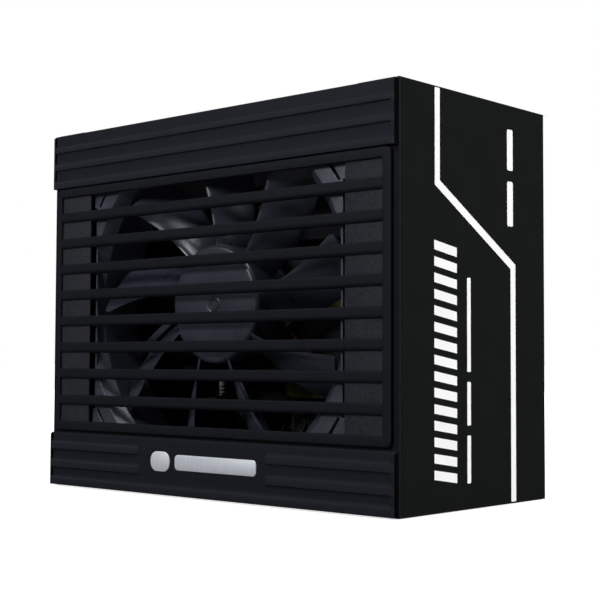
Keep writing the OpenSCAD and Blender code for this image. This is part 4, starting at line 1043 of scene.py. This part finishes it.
n.link(n.p.outputs["BSDF"], addn.inputs[0])
n.link(em.outputs[0], addn.inputs[1])
mixn = n.add("ShaderNodeMixShader")
n.link(lp.outputs["Is Camera Ray"], mixn.inputs["Fac"])
n.link(dim.outputs[0], mixn.inputs[1])
n.link(addn.outputs[0], mixn.inputs[2])
n.link(mixn.outputs[0], n.out.inputs["Surface"])
me.materials.append(n.m)

world = bpy.data.worlds.new("studio")
bpy.context.scene.world = world
world.use_nodes = True
wt = world.node_tree
wt.nodes.clear()
wo = wt.nodes.new("ShaderNodeOutputWorld")
bg1 = wt.nodes.new("ShaderNodeBackground")
bg2 = wt.nodes.new("ShaderNodeBackground")
wm = wt.nodes.new("ShaderNodeMixShader")
wl = wt.nodes.new("ShaderNodeLightPath")
bg1.inputs["Color"].default_value = (0.80, 0.86, 1.0, 1)
bg1.inputs["Strength"].default_value = 0.04
bg2.inputs["Color"].default_value = (1, 1, 1, 1)
bg2.inputs["Strength"].default_value = 1.0
wt.links.new(wl.outputs["Is Camera Ray"], wm.inputs["Fac"])
wt.links.new(bg1.outputs[0], wm.inputs[1])
wt.links.new(bg2.outputs[0], wm.inputs[2])
wt.links.new(wm.outputs[0], wo.inputs["Surface"])


def area(name, loc, target, size, power, colour=(1, 1, 1), shape="RECTANGLE", size_y=None):
    l = bpy.data.lights.new(name, "AREA")
    l.shape = shape
    l.size = size
    l.size_y = size_y or size
    l.energy = power
    l.color = colour
    o = bpy.data.objects.new(name, l)
    bpy.context.scene.collection.objects.link(o)
    o.location = loc
    d = Vector(target) - Vector(loc)
    o.rotation_euler = d.to_track_quat("-Z", "Y").to_euler()
    return o


area("side_softbox", (0.92, 0.13, 0.30), (0.06, 0, 0.05), 0.34, 8.4, (1.0, 0.99, 0.98))
area("key_softbox", (-0.42, -0.92, 0.45), (0, 0, 0.05), 0.27, 4.3, (0.89, 0.94, 1.0))
area("front_softbox", (0.04, -0.27, 0.42), (0, 0, 0.07), 0.14, 0.85, (0.92, 0.95, 1.0))
area("edge_softbox", (0.50, -0.40, 0.30), (0, 0, 0.06), 0.07, 0.12, (0.95, 0.97, 1.0))
area("top_softbox", (0.0, 0.10, 1.1), (0, 0, 0.05), 0.8, 1.6, (1, 1, 1))
area("rear_softbox", (-0.80, 0.95, 0.65), (0, 0, 0.05), 0.8, 8.0, (1, 1, 1))

cam_data = bpy.data.cameras.new("camera")
cam = bpy.data.objects.new("camera", cam_data)
bpy.context.scene.collection.objects.link(cam)
yaw, pitch, roll, fpx = -0.7284, 0.0490, 0.0038, 1311.324
fwd = Vector((math.sin(yaw) * math.cos(pitch), math.cos(yaw) * math.cos(pitch), math.sin(pitch)))
right = Vector((math.cos(yaw), -math.sin(yaw), 0))
up = right.cross(fwd)
r2 = right * math.cos(roll) + up * math.sin(roll)
u2 = up * math.cos(roll) - right * math.sin(roll)
mat4 = Matrix((( r2.x, u2.x, -fwd.x, 0.2418075), (r2.y, u2.y, -fwd.y, -0.2650769), (r2.z, u2.z, -fwd.z, 0.0344671), (0, 0, 0, 1)))
cam.matrix_world = mat4
cam_data.sensor_width = 36.0
cam_data.sensor_fit = "HORIZONTAL"
cam_data.lens = fpx / 600 * 36.0
cam_data.clip_start = 0.01
cam_data.clip_end = 50
bpy.context.scene.camera = cam
bpy.context.scene.view_settings.view_transform = "Standard"
bpy.context.scene.view_settings.look = "None"
